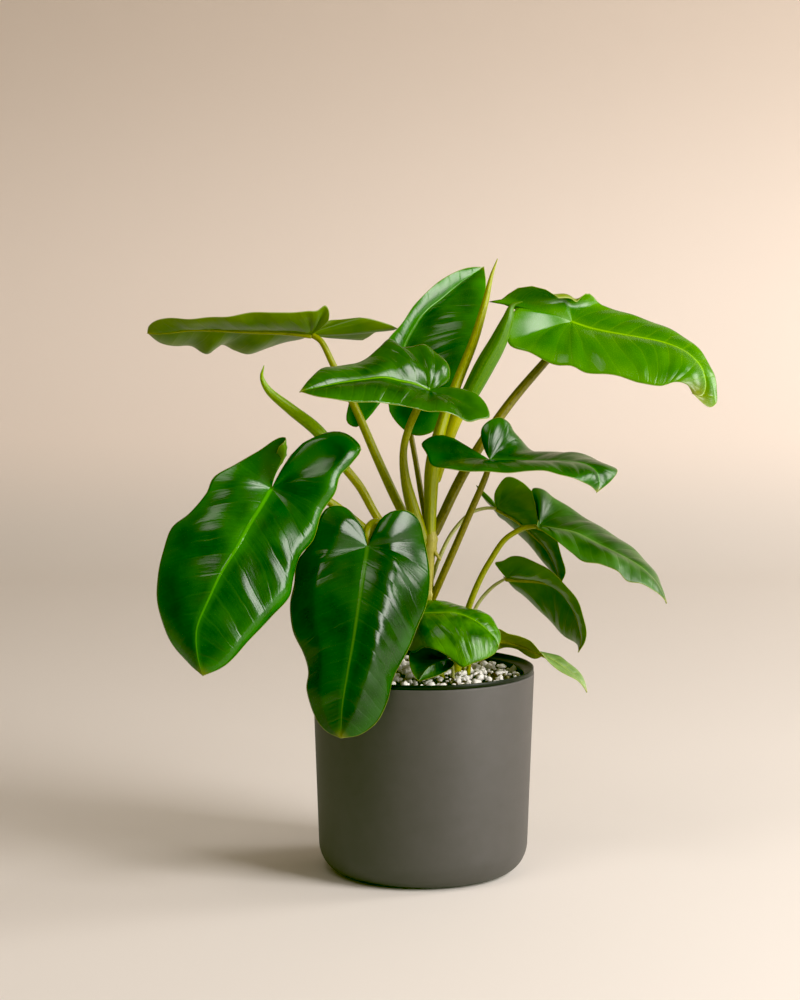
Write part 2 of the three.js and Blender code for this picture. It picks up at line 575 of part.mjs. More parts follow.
// A leaf blade: two halves that share the midrib, thin, with a rib that stands down along it
function blade(leaf, grow = 0) {
  const vertices = [point(leaf.midrib[0])];
  const depths = [bladeThickness];
  const midrib = curveThrough(leaf.midrib);
  for (let r = 1; r <= bladeRows; r++) {
    vertices.push(midrib.getPointAt(r / bladeRows));
    depths.push(bladeThickness + mix(ribDepth, ribDepthAtTip, r / bladeRows));
  }
  const tip = bladeRows;
  const triangles = [];
  for (const side of [0, 1]) {
    const face = (a, b, c) => {
      if (a === b || b === c || c === a) return;
      triangles.push(side === 0 ? [a, c, b] : [a, b, c]);
    };
    const rows = halfRows(leaf, side).map((row) => {
      const ids = [Math.round(row.along * bladeRows)];
      for (let k = 1; k <= bladeColumns; k++) {
        const v = k / bladeColumns;
        const spot = row.inner.clone().lerp(row.outer, v);
        ids.push(vertices.length);
        depths.push(bladeThickness);
        vertices.push(spot.addScaledVector(row.bulge, 4 * v * (1 - v)));
      }
      return ids;
    });
    for (let r = 0; r + 1 < rows.length; r++) {
      for (let k = 0; k < bladeColumns; k++) {
        face(rows[r][k], rows[r][k + 1], rows[r + 1][k + 1]);
        face(rows[r][k], rows[r + 1][k + 1], rows[r + 1][k]);
      }
    }
    const last = rows.at(-1);
    for (let k = 0; k < bladeColumns; k++) face(last[k], last[k + 1], tip);
  }
  return thickened(vertices, triangles, depths, grow);
}

// A round tube of changing radius along stations of [x, y, z, radius], with flat ends
function tube(stations, grow = 0) {
  const centre = curveThrough(stations);
  const count = (stations.length - 1) * stalkSteps;
  const positions = [];
  const faces = [];
  let across = new THREE.Vector3(0, 1, 0);
  for (let i = 0; i <= count; i++) {
    const t = i / count;
    const middle = centre.getPoint(t);
    const along = centre.getTangent(t);
    across = across.addScaledVector(along, -across.dot(along)).normalize();
    const up = along.clone().cross(across);
    const place = t * (stations.length - 1);
    const from = Math.min(Math.floor(place), stations.length - 2);
    const radius = mix(stations[from][3], stations[from + 1][3], place - from) + grow;
    if (i === 0) middle.addScaledVector(along, -grow);
    if (i === count) middle.addScaledVector(along, grow);
    for (let s = 0; s < stalkSides; s++) {
      const angle = (2 * Math.PI * s) / stalkSides;
      const spot = middle.clone().addScaledVector(across, radius * Math.cos(angle));
      spot.addScaledVector(up, radius * Math.sin(angle));
      positions.push(spot.x, spot.y, spot.z);
    }
  }
  const ring = (i, s) => i * stalkSides + (s % stalkSides);
  for (let i = 0; i < count; i++) {
    for (let s = 0; s < stalkSides; s++) {
      faces.push(ring(i, s), ring(i, s + 1), ring(i + 1, s + 1));
      faces.push(ring(i, s), ring(i + 1, s + 1), ring(i + 1, s));
    }
  }
  for (let s = 1; s + 1 < stalkSides; s++) {
    faces.push(ring(0, 0), ring(0, s + 1), ring(0, s));
    faces.push(ring(count, 0), ring(count, s), ring(count, s + 1));
  }
  return triangleMesh(positions, faces);
}

// Main stem: with swollen rings where old leaves stood and one short aerial root
function stemBody(grow = 0) {
  return solid(tube(mainStem, grow)).add(solid(tube(aerialRoot, grow)));
}

// Pieces are placed one after another, and each new one is cut clear of those that it meets
const placed = [];

function clearOfOthers(body) {
  let kept = body;
  const box = body.boundingBox();
  for (const other of placed) {
    const apart = [0, 1, 2].some((k) => box.min[k] > other.box.max[k] || box.max[k] < other.box.min[k]);
    if (!apart) kept = kept.subtract(other.body);
  }
  return largestPiece(kept);
}

function keepClear(grownBody) {
  placed.push({ body: grownBody, box: grownBody.boundingBox() });
}

add('cover_pot', coverPot(), 'cover');
add('nursery_pot', nurseryPot(), 'nursery');

for (const leaf of leaves) {
  add(`${leaf.name}_blade`, blade(leaf), leaf.finish);
  keepClear(solid(blade(leaf, clearance)));
}

add('main_stem', meshOf(stemBody()), 'stem');
keepClear(stemBody(clearance));

for (const stalk of stalks) {
  add(stalk.name, meshOf(clearOfOthers(solid(tube(stalk.stations)))), stalk.finish);
  keepClear(solid(tube(stalk.stations, clearance)));
}

let soil = soilBody();
soil = soil.subtract(stemBody(clearance));
for (const stalk of stalks) {
  if (stalk.stations.at(-1)[2] < soilLevel) soil = soil.subtract(solid(tube(stalk.stations, clearance)));
}
add('soil', meshOf(largestPiece(soil)), 'soil');

export default plant;
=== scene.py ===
# %% [markdown]
# # A potted philodendron
#
# A young philodendron stands in a black nursery pot inside a matt charcoal cover pot. Its leaves are
# long glossy hearts on fleshy petioles, and three more leaves are still rolled up. The solid model
# gives every piece its place and size. This lesson gives each one its fine surface: blades with
# veins, soft swellings and thin pale margins, streaked petioles, crumbly soil with perlite.

# %% Load the solid model
import math

import bpy
import numpy as np
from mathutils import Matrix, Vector, noise


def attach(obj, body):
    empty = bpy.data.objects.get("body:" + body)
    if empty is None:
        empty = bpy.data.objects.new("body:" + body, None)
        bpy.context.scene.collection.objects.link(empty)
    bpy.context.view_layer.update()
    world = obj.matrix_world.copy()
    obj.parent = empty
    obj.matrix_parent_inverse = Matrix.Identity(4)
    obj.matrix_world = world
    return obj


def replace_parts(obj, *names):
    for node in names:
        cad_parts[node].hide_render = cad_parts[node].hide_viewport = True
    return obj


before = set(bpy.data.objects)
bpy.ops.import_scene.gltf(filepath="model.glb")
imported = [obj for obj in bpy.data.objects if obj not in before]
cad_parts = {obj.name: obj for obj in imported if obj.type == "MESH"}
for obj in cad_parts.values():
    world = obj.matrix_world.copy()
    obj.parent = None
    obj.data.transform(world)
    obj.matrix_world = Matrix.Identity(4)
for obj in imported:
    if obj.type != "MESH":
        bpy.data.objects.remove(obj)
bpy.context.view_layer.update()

# %% [markdown]
# ## Units and colours
#
# Plants are measured in millimetres, and Blender works in metres, so one factor turns the first into
# the second. Colours are picked as sRGB hex values, as in any paint program, and shaders want linear
# light, so one function turns hex into linear.

# %% Millimetres and colours
MM = 0.001


def linear(hex_colour):
    """An sRGB hex colour as the linear RGBA that shaders use."""
    shares = [int(hex_colour[i : i + 2], 16) / 255 for i in (1, 3, 5)]
    return [c / 12.92 if c <= 0.04045 else ((c + 0.055) / 1.055) ** 2.4 for c in shares] + [1.0]


print("mid grey in linear light:", round(linear("#808080")[0], 3))

# %% [markdown]
# ## The camera
#
# The photograph looks slightly down at the plant from two metres away, through a short telephoto
# lens that keeps the pot's sides nearly parallel. The camera goes in first, because everything
# after it is judged through it.

# %% Camera
CAMERA_PLACE = (-0.020, -2.000, 0.529)
CAMERA_PITCH = 6.0
LENS = 85
SENSOR = 36

camera = bpy.data.objects.new("camera", bpy.data.cameras.new("camera"))
camera.data.lens = LENS
camera.data.sensor_width = SENSOR
camera.location = CAMERA_PLACE
camera.rotation_euler = (math.radians(90 - CAMERA_PITCH), 0, 0)
bpy.context.collection.objects.link(camera)
bpy.context.scene.camera = camera
print("camera:", CAMERA_PLACE, "looking down", CAMERA_PITCH, "degrees")

# %% [markdown]
# ## One helper for shader nodes
#
# Every finish below is a small graph of shader nodes. Writing one takes three steps for each node:
# make it, set its options, and fill its inputs with numbers, colours or other nodes' outputs. One
# function does the three. Inputs go by their names, or by their numbers where a node has several of
# one name. Map Range's inputs 1 and 2 are the range that comes in, and 3 and 4 the range that goes
# out. Mix's input 0 is the share, 2 and 3 are its two numbers, and 6 and 7 its two colours. A noise
# without a vector lies over the box of its piece, so its scale is the width of that box divided by
# the width of one grain.


# %% Add a shader node
def add_node(tree, kind, inputs=None, **options):
    """Adds a node, sets its options and fills its inputs with values or with other nodes' outputs."""
    node = tree.nodes.new("ShaderNode" + kind)
    for option, value in options.items():
        setattr(node, option, value)
    for socket, value in (inputs or {}).items():
        if isinstance(value, bpy.types.NodeSocket):
            tree.links.new(value, node.inputs[socket])
        else:
            node.inputs[socket].default_value = value
    return node


def new_finish(name):
    """An empty material, and its node tree with only an output in it."""
    finish = bpy.data.materials.new(name)
    finish.use_nodes = True
    finish.node_tree.nodes.clear()
    add_node(finish.node_tree, "OutputMaterial")
    return finish, finish.node_tree


def close_finish(tree, shader):
    """Links the last shader of a tree to its output."""
    tree.links.new(shader.outputs[0], tree.nodes["Material Output"].inputs["Surface"])


print("helpers ready")

# %% [markdown]
# ## The studio
#
# The plant stands on a paper sweep of warm beige that runs up behind it without a corner. It is a
# flat sheet bent up along its back edge, wide enough to stay under every view.


# %% Paper sweep
def stage_sheet(name, corners, strips):
    """A smooth sheet of the studio, which isn't part of the plant."""
    mesh = bpy.data.meshes.new(name)
    mesh.from_pydata(corners, [], strips)
    mesh.polygons.foreach_set("use_smooth", [True] * len(strips))
    sheet = bpy.data.objects.new(name, mesh)
    bpy.context.collection.objects.link(sheet)
    return sheet


SWEEP_HALF_WIDTH = 4.0
SWEEP_FRONT = -4.0
SWEEP_BACK = 3.0
SWEEP_BEND = 1.2
SWEEP_HEIGHT = 4.0
BEND_STEPS = 24

profile = [(SWEEP_FRONT, 0.0), (SWEEP_BACK - SWEEP_BEND, 0.0)]
for step in range(1, BEND_STEPS + 1):
    turn = math.pi / 2 * step / BEND_STEPS
    profile.append((SWEEP_BACK - SWEEP_BEND * (1 - math.sin(turn)), SWEEP_BEND * (1 - math.cos(turn))))
profile.append((SWEEP_BACK, SWEEP_HEIGHT))
corners = [(x, y, z) for y, z in profile for x in (-SWEEP_HALF_WIDTH, SWEEP_HALF_WIDTH)]
strips = [(2 * i, 2 * i + 1, 2 * i + 3, 2 * i + 2) for i in range(len(profile) - 1)]
sweep = stage_sheet("paper_sweep", corners, strips)
print("sweep:", 2 * SWEEP_HALF_WIDTH, "m wide")

# %% [markdown]
# ## The other three walls
#
# From behind, a camera would look past the sweep's front edge into nothing. A wall of the same paper
# with round corners closes those sides. Only the camera sees it, so the light that reaches the plant
# is the same with or without it.

# %% Paper surround
SURROUND_BACK = 3.4
SURROUND_CORNER = 2.0
SURROUND_INSET = 0.05
SURROUND_LIFT = 0.002

half_room = SWEEP_HALF_WIDTH - SURROUND_INSET
# Each point of the plan is a place in x and y, and the way out of the room there
plan = [(-half_room, SURROUND_BACK, -1.0, 0.0)]
for centre_x, first_turn in ((-half_room + SURROUND_CORNER, 180), (half_room - SURROUND_CORNER, 270)):
    for step in range(BEND_STEPS + 1):
        turn = math.radians(first_turn + 90 * step / BEND_STEPS)
        out_x, out_y = math.cos(turn), math.sin(turn)
        plan.append((centre_x + SURROUND_CORNER * out_x,
                     SWEEP_FRONT + SURROUND_INSET + SURROUND_CORNER * (1 + out_y), out_x, out_y))
plan.append((half_room, SURROUND_BACK, 1.0, 0.0))
section = [(SWEEP_BEND * (math.sin(turn) - 1), SWEEP_BEND * (1 - math.cos(turn)) + SURROUND_LIFT)
           for turn in np.linspace(0, math.pi / 2, BEND_STEPS)] + [(0.0, SWEEP_HEIGHT)]
corners = [(x + out * out_x, y + out * out_y, z) for x, y, out_x, out_y in plan for out, z in section]
rows = len(section)
strips = [(i * rows + k, i * rows + k + 1, (i + 1) * rows + k + 1, (i + 1) * rows + k)
          for i in range(len(plan) - 1) for k in range(rows - 1)]
surround = stage_sheet("paper_surround", corners, strips)
for ray in ("diffuse", "glossy", "transmission", "shadow"):
    setattr(surround, "visible_" + ray, False)
print("surround:", len(strips), "faces")

# %% [markdown]
# ## Finish: backdrop paper
#
# Plain coated paper, matt, with a faint tooth. Its colour changes with its height above the floor
# and carries painted light and shade: painted light makes the bend lighter, and painted shade makes
# the wall darker towards the top, where the light grows dim.

# %% Backdrop paper
FLOOR_TINT = "#E4DED8"
# The bend's lighter colour is painted light and the wall's darker colour is painted shade
BEND_PAINTED_LIGHT = "#FAEEE4"
WALL_PAINTED_SHADE = "#D3C5B9"
# Real paper's tooth is far too fine to show, so it is drawn some 9 mm wide and very shallow
PAPER_TOOTH = 8.9 * MM
TOOTH_DEPTH = 0.2 * MM
BEND_TOP = 0.2
PAINTED_SHADE_HEIGHTS = (0.25, 1.2)

paper, tree = new_finish("backdrop_paper")
place = add_node(tree, "NewGeometry")
place = add_node(tree, "SeparateXYZ", {0: place.outputs["Position"]})
# Painted light in the bend, then painted shade that deepens up the wall
painted_light_share = add_node(tree, "MapRange", {0: place.outputs[2], 1: 0.0, 2: BEND_TOP},
                      interpolation_type="SMOOTHSTEP")
tint = add_node(tree, "Mix", {0: painted_light_share.outputs[0], 6: linear(FLOOR_TINT), 7: linear(BEND_PAINTED_LIGHT)},
                data_type="RGBA")
painted_shade_share = add_node(tree, "MapRange", {0: place.outputs[2], 1: PAINTED_SHADE_HEIGHTS[0], 2: PAINTED_SHADE_HEIGHTS[1]},
                      interpolation_type="SMOOTHSTEP")
tint = add_node(tree, "Mix", {0: painted_shade_share.outputs[0], 6: tint.outputs[2], 7: linear(WALL_PAINTED_SHADE)},
                data_type="RGBA")
tooth = add_node(tree, "TexNoise", {"Scale": 2 * SWEEP_HALF_WIDTH / PAPER_TOOTH, "Detail": 3.0})
bump = add_node(tree, "Bump", {"Height": tooth.outputs["Fac"], "Strength": 0.05, "Distance": TOOTH_DEPTH})
inputs = {"Base Color": tint.outputs[2], "Roughness": 0.85, "Normal": bump.outputs[0]}
close_finish(tree, add_node(tree, "BsdfPrincipled", inputs))
for sheet in (sweep, surround):
    sheet.data.materials.append(paper)
print("paper on:", sweep.name, surround.name)

# %% [markdown]
# ## The light
#
# The broad white streaks on the leaves and the bright right side of the pot come from one large soft
# light on the right, in front of the plant. It also throws the long soft shadow to the left. A weak
# light overhead puts small patches on the leaves that face up, another brightens the paper behind the
# plant from the right, and the warm room fills the shadows. The greens in the photograph hold almost
# no red or blue, so the view's black level takes a little of both away, as a photo editor would.

# %% Soft lights
LIGHTS = [
    # name, place, aim, width and height in metres, power in watts, colour
    ("key_softbox", (1.80, -1.12, 1.15), (0.0, 0.0, 0.3), (1.0, 1.7), 72.0, "#FFFCF8"),
    ("overhead_softbox", (-0.55, -0.85, 2.1), (0.0, 0.0, 0.3), (0.8, 0.8), 8.0, "#FFF8F0"),
    ("backdrop_softbox", (3.0, 0.9, 1.7), (0.9, 3.0, 0.45), (1.8, 1.4), 70.0, "#FFFBF5"),
]
ROOM_COLOUR = "#F6DCC2"
ROOM_STRENGTH = 0.23
BLACK_LEVEL = (0.015, 0.003, 0.018)

for name, place, aim, size, power, colour in LIGHTS:
    lamp = bpy.data.lights.new(name, "AREA")
    lamp.shape = "RECTANGLE"
    lamp.size, lamp.size_y = size
    lamp.energy = power
    lamp.color = linear(colour)[:3]
    light = bpy.data.objects.new(name, lamp)
    light.location = place
    light.rotation_euler = (Vector(aim) - Vector(place)).to_track_quat("-Z", "Y").to_euler()
    bpy.context.collection.objects.link(light)

world = bpy.data.worlds.new("room")
world.use_nodes = True
world.node_tree.nodes["Background"].inputs["Color"].default_value = linear(ROOM_COLOUR)
world.node_tree.nodes["Background"].inputs["Strength"].default_value = ROOM_STRENGTH
bpy.context.scene.world = world
view = bpy.context.scene.view_settings
view.view_transform = "Standard"
view.use_curve_mapping = True
view.curve_mapping.black_level = BLACK_LEVEL
view.curve_mapping.update()
print("lights:", [row[0] for row in LIGHTS])

# %% [markdown]
# ## Smooth lines through a few points
#
# A leaf is drawn as three lines in space: its midrib and its two margins. Each has a few
# points, and a centripetal Catmull-Rom curve runs smoothly through them without loops or overshoot.


# %% Curves
def smooth_line(points, per_span=16):
    """Dense points of a smooth curve through points, and how far along it each of them lies."""
    knots = np.array(points, float)
    knots = np.vstack([2 * knots[0] - knots[1], knots, 2 * knots[-1] - knots[-2]])
    t = np.linspace(0, 1, per_span, endpoint=False)[:, None]
    spans = []
    for a, b, c, d in zip(knots, knots[1:], knots[2:], knots[3:]):
        ab, bc, cd = (math.sqrt(math.dist(p[:3], q[:3])) for p, q in ((a, b), (b, c), (c, d)))
        leave = ((b - a) / ab - (c - a) / (ab + bc) + (c - b) / bc) * bc
        arrive = ((c - b) / bc - (d - b) / (bc + cd) + (d - c) / cd) * bc
        bend = 3 * (c - b) - 2 * leave - arrive
        close = 2 * (b - c) + leave + arrive
        spans.append(b + leave * t + bend * t**2 + close * t**3)
    line = np.vstack([*spans, knots[-2:-1]])
    steps = np.linalg.norm(np.diff(line[:, :3], axis=0), axis=1)
    return line, np.concatenate([[0], np.cumsum(steps)])


def along(curve, shares):
    """The points of a smooth line at shares of its length, from 0 to 1."""
    line, travel = curve
    where = np.asarray(shares) * travel[-1]
    return np.column_stack([np.interp(where, travel, column) for column in line.T])


def unit(vectors):
    """Vectors scaled to length one."""
    return vectors / np.maximum(np.linalg.norm(vectors, axis=-1, keepdims=True), 1e-9)


print("a quarter of the way:", along(smooth_line([(0, 0, 0), (10, 0, 0), (20, 10, 0)]), [0.25])[0].round(1))

# %% [markdown]
# ## The leaves' lines
#
# All points are in millimetres, in the solid model's frame, so the fine blades lie where the solid
# ones do. Left and right are as seen from the joint with the petiole towards the tip, with the
# upper face up. The finish is how old the leaf looks, and the finishes come further down. A crown is
# how each half swells between midrib and margin: its height in millimetres, where across the half it
# peaks, and how round it is, from 1 for a crease to 3 for a barrel. A negative height hollows the
# half. A curl rolls a stretch of one margin up over the blade. Its four numbers are the shares of the
# margin where it starts and ends, how far out across the half it starts, and its turn in degrees.

# %% Leaf lines
LEAVES = {
    "upper_left": {
        "finish": "olive",
        "crown": [(-3, 0.5, 2), (-3, 0.5, 2)],
        "midrib": [(-98, 60, 458), (-116, 60, 460), (-150, 58, 461), (-181, 56, 462), (-202, 56, 462),
                   (-224, 58, 459), (-240, 60, 459)],
        "left": [(-89, 52, 465), (-82, 44, 470), (-81, 38, 478), (-84, 36, 483), (-91, 34, 479),
                 (-99, 32, 479), (-114, 30, 477), (-138, 28, 478), (-170, 30, 474), (-201, 36, 472),
                 (-229, 46, 471), (-238, 54, 465)],
        "right": [(-88, 64, 468), (-72, 66, 470), (-50, 60, 472), (-33, 68, 467), (-22, 76, 462),
                  (-38, 84, 460), (-54, 88, 452), (-64, 96, 459), (-75, 110, 467), (-96, 116, 461),
                  (-114, 108, 454), (-133, 96, 447), (-153, 88, 439), (-166, 88, 443),
                  (-178, 92, 447), (-190, 82, 440), (-204, 86, 446), (-217, 80, 447),
                  (-231, 74, 450)],
    },
    "upper_right": {
        "finish": "bright",
        "crown": [(4, 0.5, 2), (8, 0.5, 2)],
        "curl": [(0.24, 0.50, 0.42, 200), None],
        "midrib": [(128, 38, 469), (143, 34, 464), (162, 30, 460), (186, 26, 456), (209, 24, 451),
                   (226, 20, 443), (237, 15, 431), (240, 8, 417), (237, 1, 409), (232, -5, 408),
                   (227, -8, 410)],
        "left": [(116, 40, 471), (101, 38, 471), (85, 36, 476), (71, 36, 484), (56, 36, 486),
                 (69, 40, 489), (84, 46, 495), (99, 50, 496), (112, 54, 497), (124, 60, 491),
                 (146, 64, 486), (171, 60, 478), (201, 52, 468), (224, 42, 457), (238, 32, 445),
                 (248, 20, 427), (250, 10, 412), (249, 2, 402), (242, -4, 398)],
        "right": [(113, 31, 473), (96, 23, 477), (81, 16, 482), (74, 10, 473), (72, 2, 452),
                  (90, -4, 444), (112, -8, 434), (125, -10, 433), (137, -12, 428), (165, -14, 425),
                  (182, -14, 419), (199, -14, 417), (212, -12, 420), (222, -10, 417)],
    },
    "back": {
        "finish": "lush",
        "crown": [(5, 0.5, 2), (6, 0.5, 2)],
        "midrib": [(-23, 58, 425), (-17, 66, 445), (-9, 74, 461), (2, 82, 476), (17, 92, 488),
                   (33, 102, 501), (55, 114, 516)],
        "left": [(-30, 52, 410), (-46, 44, 387), (-58, 42, 378), (-66, 44, 382), (-65, 48, 396),
                 (-58, 52, 414), (-44, 56, 434), (-29, 62, 455), (-20, 68, 465), (-7, 78, 483),
                 (8, 88, 498), (24, 98, 509), (40, 108, 515)],
        "right": [(-28, 50, 408), (-30, 44, 394), (-22, 38, 381), (-7, 36, 371), (8, 36, 374),
                  (19, 38, 389), (30, 42, 412), (39, 50, 437), (47, 60, 461), (53, 74, 483),
                  (56, 92, 500)],
    },
    "centre_left": {
        "finish": "lively",
        "crown": [(5, 0.5, 2), (8, 0.4, 2)],
        "midrib": [(4, -40, 415), (-8, -44, 420), (-20, -50, 423), (-32, -57, 426),
                   (-49, -67, 425), (-69, -80, 423), (-86, -90, 420), (-101, -97, 417)],
        "left": [(17, -34, 417), (32, -34, 416), (44, -38, 411), (52, -46, 403), (54, -54, 393),
                 (46, -62, 392), (36, -70, 391), (25, -76, 396), (13, -80, 400), (3, -80, 400),
                 (-8, -82, 402), (-24, -86, 406), (-44, -94, 408), (-68, -102, 410),
                 (-88, -104, 414)],
        "right": [(13, -32, 417), (21, -26, 422), (22, -22, 430), (19, -20, 437), (10, -17, 445),
                  (1, -15, 452), (-10, -16, 450), (-20, -18, 450), (-28, -20, 457),
                  (-38, -28, 449), (-47, -35, 442), (-57, -45, 437), (-71, -56, 436),
                  (-84, -70, 434), (-93, -84, 427)],
    },
    "left": {
        "finish": "mature",
        "crown": [(10, 0.8, 2), (7, 0.5, 2)],
        "curl": [None, (0.01, 0.19, 0.68, 120)],
        "midrib": [(-126, -62, 335), (-133, -76, 323), (-142, -88, 309), (-152, -100, 291),
                   (-164, -112, 272), (-174, -122, 251), (-183, -130, 228), (-182, -134, 207),
                   (-178, -134, 191)],
        "left": [(-117, -56, 344), (-109, -51, 356), (-99, -47, 371), (-85, -44, 379),
                 (-68, -42, 380), (-57, -44, 374), (-52, -48, 366), (-60, -56, 355),
                 (-69, -62, 346), (-73, -66, 332), (-84, -70, 316), (-91, -76, 294),
                 (-102, -84, 281), (-107, -92, 263), (-110, -98, 250), (-125, -108, 234),
                 (-141, -118, 218), (-161, -128, 198)],
        "right": [(-125, -67, 343), (-121, -71, 352), (-115, -74, 361), (-108, -76, 369),
                  (-107, -77, 377), (-118, -74, 378), (-137, -67, 366), (-156, -66, 355),
                  (-173, -72, 345), (-179, -76, 332), (-193, -80, 316), (-207, -84, 304),
                  (-214, -90, 283), (-218, -98, 257), (-213, -108, 231), (-201, -118, 210),
                  (-189, -126, 199)],
    },
    "front": {
        "finish": "deep",
        "crown": [(13, 0.36, 1.6), (10, 0.62, 1.15)],
        "midrib": [(-47, -66, 287), (-50, -84, 268), (-54, -98, 243), (-58, -108, 216),
                   (-63, -114, 188), (-67, -117, 162), (-68, -118, 137)],
        "left": [(-44, -64, 295), (-38, -61, 307), (-28, -57, 315), (-15, -54, 316),
                 (-5, -50, 309), (0, -46, 292), (4, -49, 272), (4, -60, 246), (-5, -74, 222),
                 (-16, -88, 199), (-26, -96, 181), (-30, -101, 164), (-39, -106, 148),
                 (-52, -113, 139)],
        "right": [(-50, -62, 298), (-56, -60, 311), (-67, -62, 320), (-79, -66, 320),
                  (-87, -70, 310), (-96, -72, 288), (-105, -74, 275), (-107, -78, 259),
                  (-110, -84, 243), (-108, -90, 221), (-99, -96, 203), (-95, -100, 188),
                  (-96, -106, 175), (-90, -110, 155), (-80, -114, 142)],
    },
    "right": {
        "finish": "steady",
        "crown": [(4, 0.5, 2), (5, 0.5, 2)],
        "midrib": [(55, -30, 356), (72, -32, 356), (93, -36, 355), (113, -40, 356),
                   (132, -44, 354), (142, -50, 349), (145, -54, 341), (143, -58, 331)],
        "left": [(52, -26, 364), (48, -22, 373), (49, -18, 382), (56, -14, 388), (65, -10, 390),
                 (73, -6, 385), (77, -2, 377), (84, 2, 369), (93, 6, 361), (104, 8, 358),
                 (125, 6, 358), (141, -4, 356), (155, -18, 350), (162, -32, 347),
                 (156, -46, 340)],
        "right": [(45, -30, 360), (35, -28, 368), (22, -26, 375), (8, -28, 376), (-2, -36, 370),
                  (2, -46, 362), (6, -56, 354), (20, -64, 351), (38, -68, 350), (62, -70, 349),
                  (87, -72, 350), (100, -74, 351), (113, -76, 347), (126, -74, 343),
                  (136, -66, 338)],
    },
    "lower_right": {
        "finish": "dull",
        "crown": [(4, 0.5, 2), (4, 0.5, 2)],
        "midrib": [(98, -10, 298), (111, -14, 296), (128, -18, 293), (149, -22, 283),
                   (170, -27, 273), (186, -32, 263), (197, -36, 251), (204, -40, 236)],
        "left": [(97, -4, 306), (95, 4, 317), (93, 12, 327), (103, 18, 326), (114, 22, 318),
                 (131, 22, 307), (152, 18, 294), (174, 8, 281), (189, -6, 268), (198, -20, 256),
                 (202, -30, 245)],
        "right": [(97, -14, 303), (96, -22, 298), (102, -30, 295), (111, -38, 288),
                  (124, -44, 279), (133, -48, 272), (148, -50, 270), (161, -52, 265),
                  (169, -52, 256), (182, -50, 254), (193, -48, 247), (199, -44, 242)],
    },
    "right_rear": {
        "finish": "shaded",
        "crown": [(-3, 0.5, 2), (-4, 0.5, 2)],
        "midrib": [(65, 40, 307), (80, 42, 298), (93, 44, 287), (107, 45, 273), (114, 45, 260),
                   (121, 44, 241)],
        "left": [(59, 44, 315), (52, 46, 322), (47, 48, 327), (50, 58, 322), (61, 66, 309),
                 (71, 70, 297), (81, 70, 287), (91, 68, 275), (101, 62, 264), (112, 54, 251)],
        "right": [(62, 36, 314), (63, 30, 325), (72, 26, 336), (85, 24, 332), (95, 24, 323),
                  (105, 26, 311), (112, 28, 297), (116, 30, 281), (121, 32, 265),
                  (124, 36, 252)],
    },
    "low_right_rear": {
        "finish": "shaded",
        "crown": [(-3, 0.5, 2), (-4, 0.5, 2)],
        "midrib": [(73, 30, 248), (88, 30, 247), (106, 28, 245), (118, 24, 239), (129, 20, 225),
                   (135, 16, 209), (137, 12, 196), (134, 8, 186)],
        "left": [(70, 36, 248), (73, 46, 244), (79, 54, 240), (88, 58, 231), (101, 58, 217),
                 (114, 52, 204), (125, 42, 194), (134, 24, 190)],
        "right": [(67, 24, 255), (62, 18, 263), (68, 14, 265), (76, 10, 269), (86, 6, 269),
                  (97, 2, 265), (110, -2, 257), (122, -4, 246), (133, -4, 230), (139, -2, 211),
                  (139, 4, 196)],
    },
    "small_front": {
        "finish": "fresh",
        "crown": [(4, 0.5, 2), (9, 0.45, 2)],
        "midrib": [(0, -30, 226), (14, -32, 227), (26, -34, 227), (39, -36, 223), (51, -38, 215),
                   (59, -40, 207), (63, -42, 199)],
        "left": [(-3, -24, 230), (-2, -18, 233), (6, -12, 235), (19, -10, 233), (34, -10, 228),
                 (46, -12, 224), (56, -18, 222), (62, -26, 215), (65, -34, 207)],
        "right": [(-4, -26, 224), (-10, -25, 213), (-14, -30, 200), (-9, -41, 194), (0, -54, 201),
                  (8, -60, 200), (18, -63, 196), (26, -65, 190), (32, -66, 186), (41, -64, 189),
                  (51, -59, 192), (59, -51, 195)],
    },
    "low_right": {
        "finish": "pale",
        "crown": [(2, 0.5, 2), (2, 0.5, 2)],
        "midrib": [(55, 0, 197), (68, 1, 198), (82, 2, 194), (94, 0, 189), (104, -2, 185),
                   (115, -4, 179), (125, -6, 172), (134, -9, 165), (140, -12, 155)],
        "left": [(55, 6, 190), (60, 10, 187), (71, 13, 190), (80, 13, 188), (89, 10, 183),
                 (97, 6, 181), (106, 4, 185), (116, 4, 184), (124, 2, 179), (133, -2, 172),
                 (138, -7, 164)],
        "right": [(53, -6, 204), (58, -10, 209), (65, -12, 210), (72, -12, 206), (82, -12, 203),
                  (92, -11, 199), (99, -12, 191), (107, -14, 181), (115, -16, 175),
                  (124, -17, 170), (132, -16, 165)],
    },
    "low_front": {
        "finish": "dull",
        "crown": [(-4, 0.5, 2), (-4, 0.5, 2)],
        "midrib": [(20, -42, 189), (12, -50, 188), (3, -58, 184), (-5, -68, 175)],
        "left": [(25, -46, 187), (24, -53, 185), (18, -61, 182), (10, -67, 179), (2, -70, 177)],
        "right": [(15, -34, 195), (1, -32, 197), (-11, -38, 194), (-12, -48, 186),
                  (-9, -58, 179)],
    },
}
print("leaves with open blades:", len(LEAVES))

# %% [markdown]
# ## Where the veins run
#
# On a leaf laid flat, the lateral veins leave the midrib at about sixty degrees and bend towards the
# tip as they near the margin. In the two lobes behind the joint they spread from it like a fan. One
# number for each point of the flat leaf says which vein it lies on. The mesh uses that number for
# the swellings that follow the veins, and the shader uses the same one for the veins themselves.
# The flat coordinates go to the shader as UV maps. One unit there is the length of a flat leaf on a
# blade, and a hundred millimetres for the distance to a margin and on every other piece.

# %% Vein lines
FLAT_LEAF = 150.0
FLAT_UNIT = 100.0
VEIN_LEAN = 0.50
VEIN_CURL = 0.004
LOBE_SPAN = 46.0
VEIN_SPACING = 15.0
FINE_SPACING = 1.9
STREAK_LENGTH = 16.0


